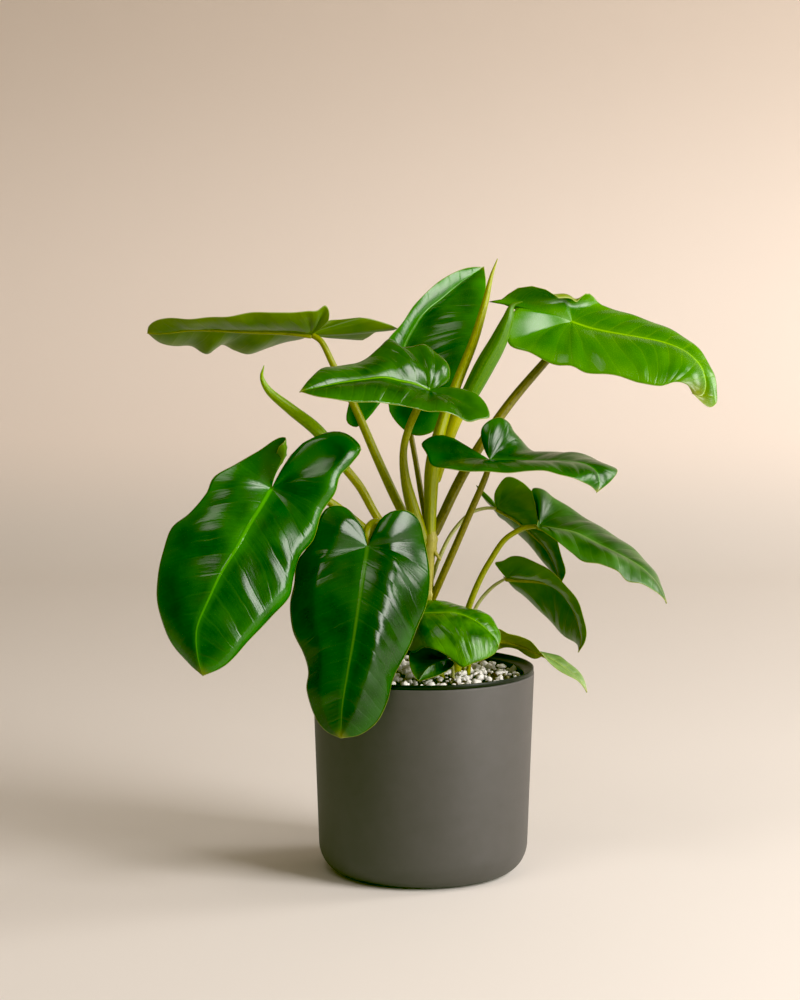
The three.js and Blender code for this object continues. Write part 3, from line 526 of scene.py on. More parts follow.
def vein_line(u, w):
    """Which lateral vein a point lies on, in mm on a leaf 150 mm long: u along it, w to the side."""
    ahead = u - VEIN_LEAN * np.abs(w) - VEIN_CURL * w**2
    reach = np.maximum(np.hypot(u, w), 1.0)
    return np.where(ahead > 0, ahead, ahead * LOBE_SPAN / reach)


print("vein number 30 mm along, 20 mm out:", vein_line(np.array(30.0), np.array(20.0)) / VEIN_SPACING)

# %% [markdown]
# ## One half of a blade
#
# A half is meshed in rows that run from the midrib out to the margin. Behind the joint the rows fan
# out round it. Each row is a straight line at first. Then the half is crowned, takes a low quilting
# between its veins and larger irregular swellings along them, and its margin ripples slightly, all
# along the sheet's own normal. The swellings are what breaks a soft light's reflection into patches.

# %% Rows of half a blade
LOBE_REACH = 0.15
LOBE_ROWS = 34
BODY_ROWS = 96
COLUMNS = 22
MARGIN_STEPS = 800
FIRST_ROW = 0.02
OUTWARD_SHARE = 0.2
HEADING_STEPS = 200
LIFT_PASSES = 12
LOBE_FULLNESS = 0.6
QUILT = 0.2
SWELL = 2.6
SWELL_WIDTH = 19.0
SWELL_LENGTH = 42.0
SWELL_SEED_STEP = 7
CALM_RADIUS = 26.0
RIPPLE = 0.5
RIPPLE_LENGTH = 34.0
RIPPLE_WIDTH = 20
ROLL_FADE = 0.3


def lobe_shares(midrib, margin):
    """Shares of the margin at which the rows of a basal lobe meet it, the last one level with its end."""
    joint = midrib[0][0]
    axis = unit(along(midrib, [LOBE_REACH])[0] - joint)
    shares = np.linspace(0, 1, MARGIN_STEPS)
    out = along(margin, shares) - joint
    step = np.diff(out, axis=0)
    radial = unit(out[1:])
    sideways = step - radial * (step * radial).sum(axis=1, keepdims=True)
    travel = np.linalg.norm(sideways, axis=1) + OUTWARD_SHARE * np.linalg.norm(step, axis=1)
    travel = np.concatenate([[0], np.cumsum(travel)])
    last = np.nonzero(out @ axis < LOBE_REACH * midrib[1][-1])[0].max()
    return np.interp(np.linspace(FIRST_ROW, 1, LOBE_ROWS) * travel[last], travel, shares)


def crown_profile(v, peak, roundness):
    """Height across a half, 0 at midrib and margin and 1 at the peak."""
    away = np.where(v < peak, (peak - v) / peak, (v - peak) / (1 - peak))
    return 1 - away**roundness


def smooth_rows(values, passes):
    """Evens out a value or vector between neighbouring rows."""
    for _ in range(passes):
        padded = np.concatenate([values[:1], values, values[-1:]])
        values = (padded[:-2] + 2 * values + padded[2:]) / 4
    return values


def rolled_margin(points, t, v, lift, first, last, from_v, turn):
    """Rolls a stretch of the margin up and over the blade, from one share of the margin to another."""
    strength = np.clip(np.minimum(t - first, last - t) / (ROLL_FADE * (last - first)), 0, 1)
    strength = strength * strength * (3 - 2 * strength)
    outside = np.clip((v - from_v) / (1 - from_v), 0, 1)
    fold = int(np.searchsorted(v, from_v))
    out = points[:, -1] - points[:, fold]
    reach = np.linalg.norm(out, axis=1)[:, None, None]
    out = unit(out)[:, None]
    up = unit(lift - out[:, 0] * (lift * out[:, 0]).sum(axis=1, keepdims=True))[:, None]
    angle = np.maximum(strength[:, None] * math.radians(turn) * outside[None, :], 1e-6)
    radius = reach / np.maximum(strength[:, None, None] * math.radians(turn), 1e-3)
    turned = np.sin(angle)[..., None] * out + (1 - np.cos(angle))[..., None] * up
    rolled = points[:, fold : fold + 1] + radius * turned
    mask = ((outside[None, :] > 0) & (strength[:, None] > 0.001))[..., None]
    return np.where(mask, rolled, points)


def soft_swells(u, w, number):
    """Irregular swellings between the veins, from about -0.5 to 0.5, other ones for each number."""
    places = np.stack([vein_line(u, w) / SWELL_WIDTH, w / SWELL_LENGTH, np.full_like(u, number)], axis=-1)
    return np.array([noise.noise(Vector(place)) for place in places.reshape(-1, 3)]).reshape(u.shape)


def half_blade(leaf, side):
    """Points of one half, row by row, with their place on the flat leaf and distance to the margin."""
    midrib = smooth_line(leaf["midrib"])
    margin = smooth_line([leaf["midrib"][0], *leaf[side], leaf["midrib"][-1]])
    length = midrib[1][-1]
    lobe = lobe_shares(midrib, margin)
    body = np.arange(1, BODY_ROWS) / BODY_ROWS
    s = np.concatenate([np.zeros(LOBE_ROWS), body])
    t = np.concatenate([lobe, lobe[-1] + (1 - lobe[-1]) * body])
    inner, outer = along(midrib, s), along(margin, t)
    across = outer - inner
    width = np.linalg.norm(across, axis=1)
    sign = 1 if side == "left" else -1
    lift = sign * np.cross(np.gradient(inner + outer, axis=0), across)
    lift = unit(smooth_rows(unit(lift), LIFT_PASSES))
    height, peak, roundness = leaf["crown"][0 if side == "left" else 1]
    fullness = np.clip(np.arange(len(s)) / LOBE_ROWS, 0, 1) ** 0.7
    fullness = LOBE_FULLNESS + (1 - LOBE_FULLNESS) * fullness
    height = height * fullness * width / width.max()
    v = np.linspace(0, 1, COLUMNS + 1)
    points = inner[:, None] + across[:, None] * v[None, :, None]
    stops = np.linspace(0, 1, HEADING_STEPS)
    heading = unit(np.gradient(along(midrib, stops), axis=0))
    heading = np.column_stack([np.interp(s, stops, column) for column in heading.T])
    cosine = np.clip((unit(across) * heading).sum(axis=1), -1, 1)
    scale = FLAT_LEAF / length
    u = scale * (s[:, None] * length + width[:, None] * cosine[:, None] * v)
    w = scale * width[:, None] * np.sqrt(1 - cosine[:, None] ** 2) * v
    swell = height[:, None] * crown_profile(v, peak, roundness)[None, :]
    between = -np.cos(2 * math.pi * vein_line(u, w) / VEIN_SPACING)
    fade = np.sin(math.pi * v) ** 0.8 * np.clip(width / width.max(), 0, 1)[:, None]
    fade = fade * np.clip(np.hypot(u, w) / CALM_RADIUS, 0, 1)
    swell = swell + QUILT * between * fade / scale
    number = leaf["midrib"][0][0] / SWELL_SEED_STEP + sign
    swell = swell + SWELL * soft_swells(u, w, number) * fade / scale
    ripple = np.sin(2 * math.pi * t * margin[1][-1] / RIPPLE_LENGTH)
    swell = swell + RIPPLE * ripple[:, None] * v**4 * np.clip(width / RIPPLE_WIDTH, 0, 1)[:, None]
    points = points + lift[:, None] * swell[..., None]
    roll = leaf.get("curl", [None, None])[0 if side == "left" else 1]
    if roll:
        points = rolled_margin(points, t, v, lift, *roll)
    return {"points": points, "u": u, "w": w * sign, "s": s, "edge": (1 - v) * width[:, None]}


sample = half_blade(LEAVES["front"], "left")
print("rows and columns of a half:", sample["points"].shape[:2])

# %% [markdown]
# ## From two halves to a blade
#
# The halves share the vertices of the midrib, so the light runs smoothly over it. The sheet is then
# given a thickness of three quarters of a millimetre, thinner towards the margin. Faces of the upper
# side, the underside and the rim are kept apart, because the two sides have finishes of their own.

# %% Thicken a sheet
BLADE_THICKNESS = 0.75
MARGIN_THICKNESS = 0.35


def vertex_normals(points, faces):
    """Normals at the points of a mesh of quads and triangles, weighted by area."""
    normals = np.zeros_like(points)
    for size in (3, 4):
        group = np.array([f for f in faces if len(f) == size], int)
        if len(group):
            ends = points[group]
            normal = np.cross(ends[:, 2] - ends[:, 0], ends[:, -1] - ends[:, 1])
            for k in range(size):
                np.add.at(normals, group[:, k], normal)
    return unit(normals)


def thickened(points, faces, depth):
    """Points and faces of a thin solid below a sheet, with 0 upper, 1 under and 2 rim for each face."""
    count = len(points)
    lower = points - vertex_normals(points, faces) * depth[:, None]
    used = {(a, b) for face in faces for a, b in zip(face, face[1:] + face[:1])}
    rim = [(b, a, a + count, b + count) for a, b in used if (b, a) not in used]
    under = [tuple(i + count for i in reversed(face)) for face in faces]
    sides = [0] * len(faces) + [1] * len(under) + [2] * len(rim)
    return np.vstack([points, lower]), [*faces, *under, *rim], sides


def loop_of(a, b, c, d, side):
    """A face without repeated corners, turned so that it faces up on either half."""
    loop = list(dict.fromkeys((a, b, c, d)))
    return tuple(reversed(loop)) if side == 0 else tuple(loop)


def blade_sheet(leaf):
    """Points, faces and flat-leaf coordinates of a whole blade, as one open sheet."""
    halves = [half_blade(leaf, side) for side in ("left", "right")]
    length = smooth_line(leaf["midrib"])[1][-1]
    spine = along(smooth_line(leaf["midrib"]), np.linspace(0, 1, BODY_ROWS + 1))
    points, flat, edge = [spine], [], []
    share = np.linspace(0, 1, BODY_ROWS + 1)
    flat.append(np.column_stack([share * FLAT_LEAF, 0 * share]))
    half_width = halves[0]["edge"][LOBE_ROWS - 1 :, 0]
    edge.append(np.column_stack([share, np.append(half_width, 0)]))
    faces = []
    start = len(spine)
    for half, side in zip(halves, (0, 1)):
        rows = [[round(s * BODY_ROWS), *range(start + r * COLUMNS, start + (r + 1) * COLUMNS)]
                for r, s in enumerate(half["s"])]
        start += len(rows) * COLUMNS
        points.append(half["points"][:, 1:].reshape(-1, 3))
        flat.append(np.column_stack([half["u"][:, 1:].ravel(), half["w"][:, 1:].ravel()]))
        along_midrib = np.repeat(half["s"][:, None], COLUMNS, axis=1)
        edge.append(np.column_stack([along_midrib.ravel(), half["edge"][:, 1:].ravel()]))
        for near, far in zip(rows, rows[1:]):
            for k in range(COLUMNS):
                faces.append(loop_of(near[k], near[k + 1], far[k + 1], far[k], side))
        for k in range(COLUMNS):
            faces.append(loop_of(rows[-1][k], rows[-1][k + 1], BODY_ROWS, BODY_ROWS, side))
    return np.vstack(points), faces, np.vstack(flat), np.vstack(edge), length


points, faces, flat, edge, length = blade_sheet(LEAVES["front"])
print("front blade:", len(points), "points,", len(faces), "faces,", round(length), "mm long")

# %% [markdown]
# ## Tubes
#
# Petioles, the stem and rolled leaves are round and taper. Each is a tube along a smooth line, whose
# points carry the radius too. The tube's ring is turned as little as possible from one step to the
# next, so that streaks along it run straight. Its ends are rounded off. A rolled leaf's ring is not a
# circle: it steps out where the outer margin lies over the roll.

# %% Tube mesh
TUBE_STEP = 2.5
CAP_STEPS = 4
SEAM_WIDTH = 0.25


def tube_sheet(stations, sides=20, seam=0.0):
    """Points and faces of a closed tube, with its distance along and share round for each point."""
    curve = smooth_line(stations)
    count = max(8, int(curve[1][-1] / TUBE_STEP))
    line = along(curve, np.linspace(0, 1, count + 1))
    heading = unit(np.gradient(line[:, :3], axis=0))
    radii = line[:, 3]
    places, sizes, ways = [], [], []
    for k in range(CAP_STEPS):
        turn = math.pi / 2 * (k / CAP_STEPS)
        places.append(line[0, :3] - heading[0] * radii[0] * math.cos(turn))
        sizes.append(radii[0] * math.sin(turn))
        ways.append(heading[0])
    places.extend(line[:, :3])
    sizes.extend(radii)
    ways.extend(heading)
    for k in reversed(range(CAP_STEPS)):
        turn = math.pi / 2 * (k / CAP_STEPS)
        places.append(line[-1, :3] + heading[-1] * radii[-1] * math.cos(turn))
        sizes.append(radii[-1] * math.sin(turn))
        ways.append(heading[-1])
    angle = np.linspace(0, 2 * math.pi, sides, endpoint=False)
    step_out = 1 + seam * np.clip(1 - angle / (2 * math.pi * SEAM_WIDTH), 0, 1)
    across = np.array([0.0, -1.0, 0.0])
    rings = []
    for place, size, way in zip(places, sizes, ways):
        across = unit(across - way * (across @ way))
        up = np.cross(way, across)
        ring = np.cos(angle)[:, None] * across + np.sin(angle)[:, None] * up
        rings.append(place + ring * (size * step_out)[:, None])
    points = np.vstack(rings)
    faces = []
    for i in range(len(places) - 1):
        for k in range(sides):
            after = (k + 1) % sides
            faces.append((i * sides + k, i * sides + after, (i + 1) * sides + after, (i + 1) * sides + k))
    travel = np.concatenate([[0], np.cumsum(np.linalg.norm(np.diff(np.array(places), axis=0), axis=1))])
    flat = np.column_stack([np.repeat(travel, sides), np.tile(angle / (2 * math.pi), len(places))])
    return points, faces, flat


points, faces, flat = tube_sheet([(0, 0, 0, 3), (0, 0, 40, 2)])
print("a short tube:", len(points), "points")

# %% [markdown]
# ## Finish: leaf skin, its pattern of veins
#
# A leaf is living tissue, grown, with a waxy skin. Its colour and its relief both follow the veins, so
# their pattern comes first. The graph rebuilds the vein number of each point from the flat leaf's
# coordinates, lets it wander a little, and uses it twice: for the lateral veins, and for the fine
# ribs that run along them.


# %% Vein pattern
VEIN_WANDER = 5.0
WANDER_LENGTH = 16.67
VEIN_HALF_WIDTH = (0.1, 1.5)


def vein_pattern(tree, flat_map):
    """Place along the leaf, distances to midrib and joint, lateral veins and fine ribs, as sockets."""
    spot = add_node(tree, "SeparateXYZ", {0: flat_map.outputs[0]})
    u = add_node(tree, "Math", {0: spot.outputs[0], 1: FLAT_LEAF}, operation="MULTIPLY")
    w = add_node(tree, "Math", {0: spot.outputs[1], 1: FLAT_LEAF}, operation="MULTIPLY")
    side = add_node(tree, "Math", {0: w.outputs[0]}, operation="ABSOLUTE")
    reach = add_node(tree, "VectorMath", {0: flat_map.outputs[0]}, operation="LENGTH")
    reach = add_node(tree, "Math", {0: reach.outputs["Value"], 1: FLAT_LEAF}, operation="MULTIPLY")
    reach = add_node(tree, "Math", {0: reach.outputs[0], 1: 1.0}, operation="MAXIMUM")
    slope = add_node(tree, "Math", {0: side.outputs[0], 1: VEIN_CURL, 2: VEIN_LEAN}, operation="MULTIPLY_ADD")
    drop = add_node(tree, "Math", {0: slope.outputs[0], 1: side.outputs[0]}, operation="MULTIPLY")
    ahead = add_node(tree, "Math", {0: u.outputs[0], 1: drop.outputs[0]}, operation="SUBTRACT")
    fan = add_node(tree, "Math", {0: LOBE_SPAN, 1: reach.outputs[0]}, operation="DIVIDE")
    fan = add_node(tree, "Math", {0: fan.outputs[0], 1: ahead.outputs[0]}, operation="MULTIPLY")
    forward = add_node(tree, "Math", {0: ahead.outputs[0], 1: 0.0}, operation="GREATER_THAN")
    line = add_node(tree, "Mix", {0: forward.outputs[0], 2: fan.outputs[0], 3: ahead.outputs[0]})
    inputs = {"Vector": flat_map.outputs[0], "Scale": FLAT_LEAF / WANDER_LENGTH, "Detail": 2.0}
    wander = add_node(tree, "TexNoise", inputs)
    wander = add_node(tree, "Math", {0: wander.outputs["Fac"], 1: VEIN_WANDER, 2: -VEIN_WANDER / 2},
                      operation="MULTIPLY_ADD")
    line = add_node(tree, "Math", {0: line.outputs[0], 1: wander.outputs[0]}, operation="ADD")
    vein = add_node(tree, "Math", {0: line.outputs[0], 1: VEIN_SPACING / 2}, operation="PINGPONG")
    sure, none = VEIN_HALF_WIDTH
    vein = add_node(tree, "MapRange", {0: vein.outputs[0], 1: sure, 2: none, 3: 1.0, 4: 0.0},
                    interpolation_type="SMOOTHSTEP")
    along_vein = add_node(tree, "Math", {0: line.outputs[0], 1: FINE_SPACING}, operation="DIVIDE")
    out_vein = add_node(tree, "Math", {0: side.outputs[0], 1: STREAK_LENGTH}, operation="DIVIDE")
    streak_place = add_node(tree, "CombineXYZ", {0: along_vein.outputs[0], 1: out_vein.outputs[0]})
    streak = add_node(tree, "TexNoise", {"Vector": streak_place.outputs[0], "Scale": 1.0, "Detail": 3.0})
    return {"u": u.outputs[0], "side": side.outputs[0], "reach": reach.outputs[0],
            "vein": vein.outputs[0], "streak": streak.outputs["Fac"]}


print("vein spacing:", VEIN_SPACING, "mm, fine ribs:", FINE_SPACING, "mm")

# %% [markdown]
# ## Finish: leaf skin, its colour
#
# The green is deepest between the veins. It is lighter in soft clouds, along the fine ribs, beside the
# midrib and towards the margins. Over it lie the paler lateral veins, the yellowish midrib that
# thins out towards the tip, a tip that turns brown, and a thin pale line along the margin.

# %% Leaf colour
MIDRIB_HALF_WIDTH = (1.5, 0.3)
MIDRIB_STRENGTH = 0.8
HALO_STRENGTH = 0.5
CLOUD_SIZE = 30.0
YELLOWING_REACH = 18.0
RIB_TINT = 0.3
DEEPENING = 0.15
OUTER_VEINS = 0.3
TIP_STRENGTH = 0.8
TIP_COLOUR = "#6E6A12"
MARGIN_WIDTH = (0.2, 0.7)
MARGIN_STRENGTH = 0.7
MARGIN_COLOUR = "#9DA84E"


def leaf_colour(tree, flat_map, pattern, colours, veins, mottle, border, tip_from):
    """A leaf's colour, and its midrib, which the relief needs too, as sockets."""
    deep, light, rib = [linear(colour) for colour in colours]
    edge_map = add_node(tree, "UVMap", uv_map="edge")
    place = add_node(tree, "SeparateXYZ", {0: edge_map.outputs[0]})
    to_margin = add_node(tree, "Math", {0: place.outputs[1], 1: FLAT_UNIT}, operation="MULTIPLY")
    sure, none = MARGIN_WIDTH
    margin = add_node(tree, "MapRange",
                      {0: to_margin.outputs[0], 1: sure, 2: none, 3: MARGIN_STRENGTH, 4: 0.0},
                      interpolation_type="SMOOTHSTEP")
    yellowing = add_node(tree, "MapRange",
                         {0: to_margin.outputs[0], 1: 0.0, 2: YELLOWING_REACH, 3: border, 4: 0.0},
                         interpolation_type="SMOOTHSTEP")
    broad, narrow = MIDRIB_HALF_WIDTH
    width = add_node(tree, "MapRange", {0: place.outputs[0], 1: 0.0, 2: 1.0, 3: broad, 4: narrow})
    widths_out = add_node(tree, "Math", {0: pattern["side"], 1: width.outputs[0]}, operation="DIVIDE")
    midrib = add_node(tree, "MapRange",
                      {0: widths_out.outputs[0], 1: 0.3, 2: 1.3, 3: MIDRIB_STRENGTH, 4: 0.0},
                      interpolation_type="SMOOTHSTEP")
    on_blade = add_node(tree, "MapRange", {0: pattern["u"], 1: -2.5, 2: 0.5})
    midrib = add_node(tree, "Math", {0: midrib.outputs[0], 1: on_blade.outputs[0]}, operation="MULTIPLY")
    halo = add_node(tree, "MapRange", {0: widths_out.outputs[0], 1: 0.5, 2: 7.0, 3: HALO_STRENGTH, 4: 0.0},
                    interpolation_type="SMOOTHSTEP")
    inputs = {"Vector": flat_map.outputs[0], "Scale": FLAT_LEAF / CLOUD_SIZE, "Detail": 4.0}
    cloud = add_node(tree, "TexNoise", inputs)
    cloud = add_node(tree, "MapRange", {0: cloud.outputs["Fac"], 1: 0.35, 2: 0.7, 3: 0.0, 4: mottle})
    share = add_node(tree, "Math", {0: cloud.outputs[0], 1: yellowing.outputs[0]}, operation="ADD")
    share = add_node(tree, "Math", {0: share.outputs[0], 1: halo.outputs[0]}, operation="ADD")
    share = add_node(tree, "Math", {0: pattern["streak"], 1: RIB_TINT, 2: share.outputs[0]},
                     operation="MULTIPLY_ADD")
    share = add_node(tree, "Math", {0: share.outputs[0], 1: DEEPENING}, operation="SUBTRACT", use_clamp=True)
    near_midrib = add_node(tree, "MapRange",
                           {0: pattern["side"], 1: 1.0, 2: 34.0, 3: veins, 4: veins * OUTER_VEINS})
    vein = add_node(tree, "Math", {0: pattern["vein"], 1: near_midrib.outputs[0]}, operation="MULTIPLY")
    tip = add_node(tree, "MapRange", {0: place.outputs[0], 1: tip_from, 2: 1.0, 3: 0.0, 4: TIP_STRENGTH},
                   interpolation_type="SMOOTHSTEP")

    # From the green up to the margin, each layer covers a share of those under it
    green = add_node(tree, "Mix", {0: share.outputs[0], 6: deep, 7: light}, data_type="RGBA")
    layers = [(vein, rib), (midrib, rib), (tip, linear(TIP_COLOUR)), (margin, linear(MARGIN_COLOUR))]
    for cover, colour in layers:
        green = add_node(tree, "Mix", {0: cover.outputs[0], 6: green.outputs[2], 7: colour},
                         data_type="RGBA")
    return green.outputs[2], midrib.outputs[0]


print("midrib:", 2 * MIDRIB_HALF_WIDTH[0], "mm wide at the joint,", 2 * MIDRIB_HALF_WIDTH[1], "at the tip")

# %% [markdown]
# ## Finish: leaf skin, its relief and its gloss
#
# Wax gives a clear gloss with soft edges, like a coat of thin varnish, and its index of refraction is
# 1.45. The fine ribs and the grain of the skin break each highlight into streaks along the veins. The
# lateral veins are sunk in the upper side and stand out from the underside. Where they meet at the
# joint the relief is calm.

# %% Leaf skin
LEAF_IOR = 1.45
SKIN_GRAIN = 0.9375
VEIN_RELIEF = 0.5
STREAK_RELIEF = 0.9
GRAIN_RELIEF = 0.10
MIDRIB_RELIEF = 1.0
CALM_RANGE = (3.0, 30.0)
CALM_RELIEF = 0.15
RELIEF_DEPTH = 0.3 * MM
GLOSS_SPREAD = (-0.03, 0.05)


def leaf_skin(name, deep, light, rib, gloss, veins=0.12, mottle=0.5, border=0.5, tip_from=0.93,
              underside=False):
    """A leaf's skin: its deep and light green, its midrib's colour and how rough its wax is."""
    finish, tree = new_finish(name)
    flat_map = add_node(tree, "UVMap", uv_map="flat")
    pattern = vein_pattern(tree, flat_map)
    green, midrib = leaf_colour(tree, flat_map, pattern, (deep, light, rib), veins, mottle, border, tip_from)
    inputs = {"Vector": flat_map.outputs[0], "Scale": FLAT_LEAF / SKIN_GRAIN, "Detail": 3.0}
    grain = add_node(tree, "TexNoise", inputs)
    raised = VEIN_RELIEF if underside else -VEIN_RELIEF
    relief = add_node(tree, "Math", {0: pattern["vein"], 1: raised}, operation="MULTIPLY")
    layers = [(pattern["streak"], STREAK_RELIEF), (grain.outputs["Fac"], GRAIN_RELIEF),
              (midrib, MIDRIB_RELIEF)]
    for layer, height in layers:
        relief = add_node(tree, "Math", {0: layer, 1: height, 2: relief.outputs[0]},
                          operation="MULTIPLY_ADD")
    nearest, farthest = CALM_RANGE
    calm = add_node(tree, "MapRange", {0: pattern["reach"], 1: nearest, 2: farthest, 3: CALM_RELIEF, 4: 1.0})
    relief = add_node(tree, "Math", {0: relief.outputs[0], 1: calm.outputs[0]}, operation="MULTIPLY")
    bump = add_node(tree, "Bump", {"Height": relief.outputs[0], "Strength": 0.6, "Distance": RELIEF_DEPTH})
    low, high = gloss + GLOSS_SPREAD[0], gloss + GLOSS_SPREAD[1]
    rough = add_node(tree, "MapRange", {0: grain.outputs["Fac"], 1: 0.3, 2: 0.7, 3: low, 4: high})
    inputs = {"Base Color": green, "Roughness": rough.outputs[0], "IOR": LEAF_IOR, "Normal": bump.outputs[0]}
    close_finish(tree, add_node(tree, "BsdfPrincipled", inputs))
    return finish


# %% [markdown]
# ## Leaf finishes
#
# Each leaf has an age and a light. Old leaves are deep green and lively ones lighter. The youngest
# leaf is yellow green with a long yellow tip, and its lighter colour is partly painted light that stands
# in for light shining through it. The small front leaf's fresh green is also lighter as painted light,
# for the light that falls on it. The leaves that are seen from below have an olive underside, as all
# undersides do: it is duller, because its wax is thin.

# %% Leaf finishes
LEAF_FINISHES = {
    # for the upper side and for the underside: deep green, light green, midrib, roughness and the rest
    "deep": (("#072C00", "#1F5802", "#447424", 0.23, {"veins": 0.05, "border": 0.35}),
             ("#2F4A06", "#4C6A0C", "#6F7E2E", 0.4, {"veins": 0.06})),
    "mature": (("#0A3800", "#2C7400", "#4E9A0A", 0.23, {"veins": 0.05}),
               ("#3A6208", "#5E8614", "#88983C", 0.4, {"veins": 0.06})),
    "lush": (("#144800", "#3E8800", "#5EA41A", 0.24, {"veins": 0.06}),
             ("#3A6208", "#588210", "#88983C", 0.4, {"veins": 0.06})),
    "steady": (("#0C3604", "#2A6408", "#4E8A24", 0.23, {"veins": 0.06}),
               ("#324E06", "#4E6E0C", "#748230", 0.4, {"veins": 0.06})),
    "lively": (("#0F3A00", "#336802", "#6CA41E", 0.22, {"veins": 0.08, "mottle": 0.7}),
               ("#385808", "#567814", "#7A8832", 0.4, {"veins": 0.06})),
    # Painted light: this finish's lighter greens stand in partly for the light falling on the small front
    # leaf
    "fresh": (("#184A00", "#4E8A06", "#7AA822", 0.24, {"veins": 0.08, "mottle": 0.8}),
              ("#3C5C0A", "#5C7C14", "#7E8C34", 0.4, {"veins": 0.06})),
    "dull": (("#163A0A", "#38661C", "#6C8C3C", 0.32, {"veins": 0.1, "mottle": 0.8}),
             ("#3C5C0A", "#5C7C14", "#7E8C34", 0.4, {"veins": 0.06})),
    # Painted light: this finish's lighter yellow greens stand in partly for light shining through the leaf
    "bright": (("#2E6C00", "#548C00", "#8CC018", 0.25, {"veins": 0.15, "tip_from": 0.76}),
               ("#56700A", "#768812", "#989C30", 0.4, {})),
    "shaded": (("#285400", "#4A7A10", "#7C9A34", 0.32, {}),
               ("#366800", "#5A840C", "#7E8630", 0.36, {"veins": 0.05})),
    "olive": (("#2A500E", "#4C7216", "#7C9034", 0.32, {}),
              ("#426404", "#6A8412", "#8A8E34", 0.36, {"veins": 0.05})),
    "pale": (("#4A7028", "#7C9854", "#9CB04C", 0.32, {"veins": 0.2}),
             ("#6A8A10", "#98A830", "#A4A840", 0.36, {})),
}
UPPER_SIDES, UNDERSIDES = {}, {}
for age, ((*colours, gloss, rest), (*under_colours, under_gloss, under_rest)) in LEAF_FINISHES.items():
    UPPER_SIDES[age] = leaf_skin("leaf_skin_" + age, *colours, gloss, **rest)
    UNDERSIDES[age] = leaf_skin("leaf_underside_" + age, *under_colours, under_gloss, underside=True,
                                **under_rest)
print("leaf finishes:", ", ".join(LEAF_FINISHES))

# %% [markdown]
# ## Finish: petioles and stems
#
# Fleshy stalks, grown, smooth and a little waxy, so they shine softly. They are yellow where the light
# shines into them and brown in the older ones. Fine streaks run along them, because the noise is
# stretched along the stalk: one streak is 50 mm long, and 60 of them go round. Darker patches and
# small flecks lie over the streaks, drawn over the box of each stalk.


# %% Stalk skin
STREAK_RUN = 50.0
STREAKS_ROUND = 60.0
PATCHES_ACROSS = 45.0
PATCH_STRENGTH = 0.8
FLECKS_ACROSS = 900.0
FLECK_STRENGTH = 0.4
STREAK_DEPTH = 0.4 * MM


def stalk_skin(name, base, streak, dark, gloss=0.38):
    """A stalk's skin: its main colour, its lighter streaks and its darker patches."""
    finish, tree = new_finish(name)
    flat_map = add_node(tree, "UVMap", uv_map="flat")
    stretch = (FLAT_UNIT / STREAK_RUN, STREAKS_ROUND, 1.0)
    stretched = add_node(tree, "Mapping", {0: flat_map.outputs[0], "Scale": stretch})
    grain = add_node(tree, "TexNoise", {"Vector": stretched.outputs[0], "Scale": 1.0, "Detail": 4.0})
    patch = add_node(tree, "TexNoise", {"Scale": PATCHES_ACROSS, "Detail": 3.0})
    fleck = add_node(tree, "TexNoise", {"Scale": FLECKS_ACROSS, "Detail": 2.0})
    grain_share = add_node(tree, "MapRange", {0: grain.outputs["Fac"], 1: 0.4, 2: 0.68})
    patch_share = add_node(tree, "MapRange", {0: patch.outputs["Fac"], 1: 0.5, 2: 0.75, 4: PATCH_STRENGTH})
    fleck_share = add_node(tree, "MapRange", {0: fleck.outputs["Fac"], 1: 0.6, 2: 0.75, 4: FLECK_STRENGTH})
    colour = add_node(tree, "Mix", {0: grain_share.outputs[0], 6: linear(base), 7: linear(streak)},
                      data_type="RGBA")
    for cover in (patch_share, fleck_share):
        colour = add_node(tree, "Mix", {0: cover.outputs[0], 6: colour.outputs[2], 7: linear(dark)},
                          data_type="RGBA")
    inputs = {"Height": grain.outputs["Fac"], "Strength": 0.35, "Distance": STREAK_DEPTH}
    bump = add_node(tree, "Bump", inputs)
    inputs = {"Base Color": colour.outputs[2], "Roughness": gloss, "IOR": LEAF_IOR, "Normal": bump.outputs[0]}
    close_finish(tree, add_node(tree, "BsdfPrincipled", inputs))
    return finish


STALKS = {
    "yellow": stalk_skin("petiole_skin_yellow", "#A0A406", "#C0B81E", "#788C08"),
    "spear": stalk_skin("spear_skin", "#8A9A0A", "#B0AC1E", "#6A7A08"),
    "olive": stalk_skin("petiole_skin_olive", "#7E8A0A", "#A8A41C", "#5E6606"),
    "brown": stalk_skin("petiole_skin_brown", "#6C6410", "#928A24", "#48400A"),
    "pale": stalk_skin("petiole_skin_pale", "#A8AE58", "#CCCC86", "#848E3C"),
    "green": stalk_skin("rolled_leaf_skin", "#76A400", "#A0B812", "#528400"),
    "dark_green": stalk_skin("unrolling_leaf_skin", "#3A7200", "#6A8E08", "#245200"),
    "stem": stalk_skin("stem_skin", "#A09A34", "#C4BC60", "#7A6A28", 0.5),
}
print("stalk finishes:", ", ".join(STALKS))

# %% [markdown]
# ## Pieces
#
# A piece is one Blender object that stands for a solid of the model. It may be made of several mesh
# parts, such as a blade and the rib under it. One function joins the parts, turns millimetres into
# metres, keeps both sets of flat coordinates as UV maps and gives the piece its body.

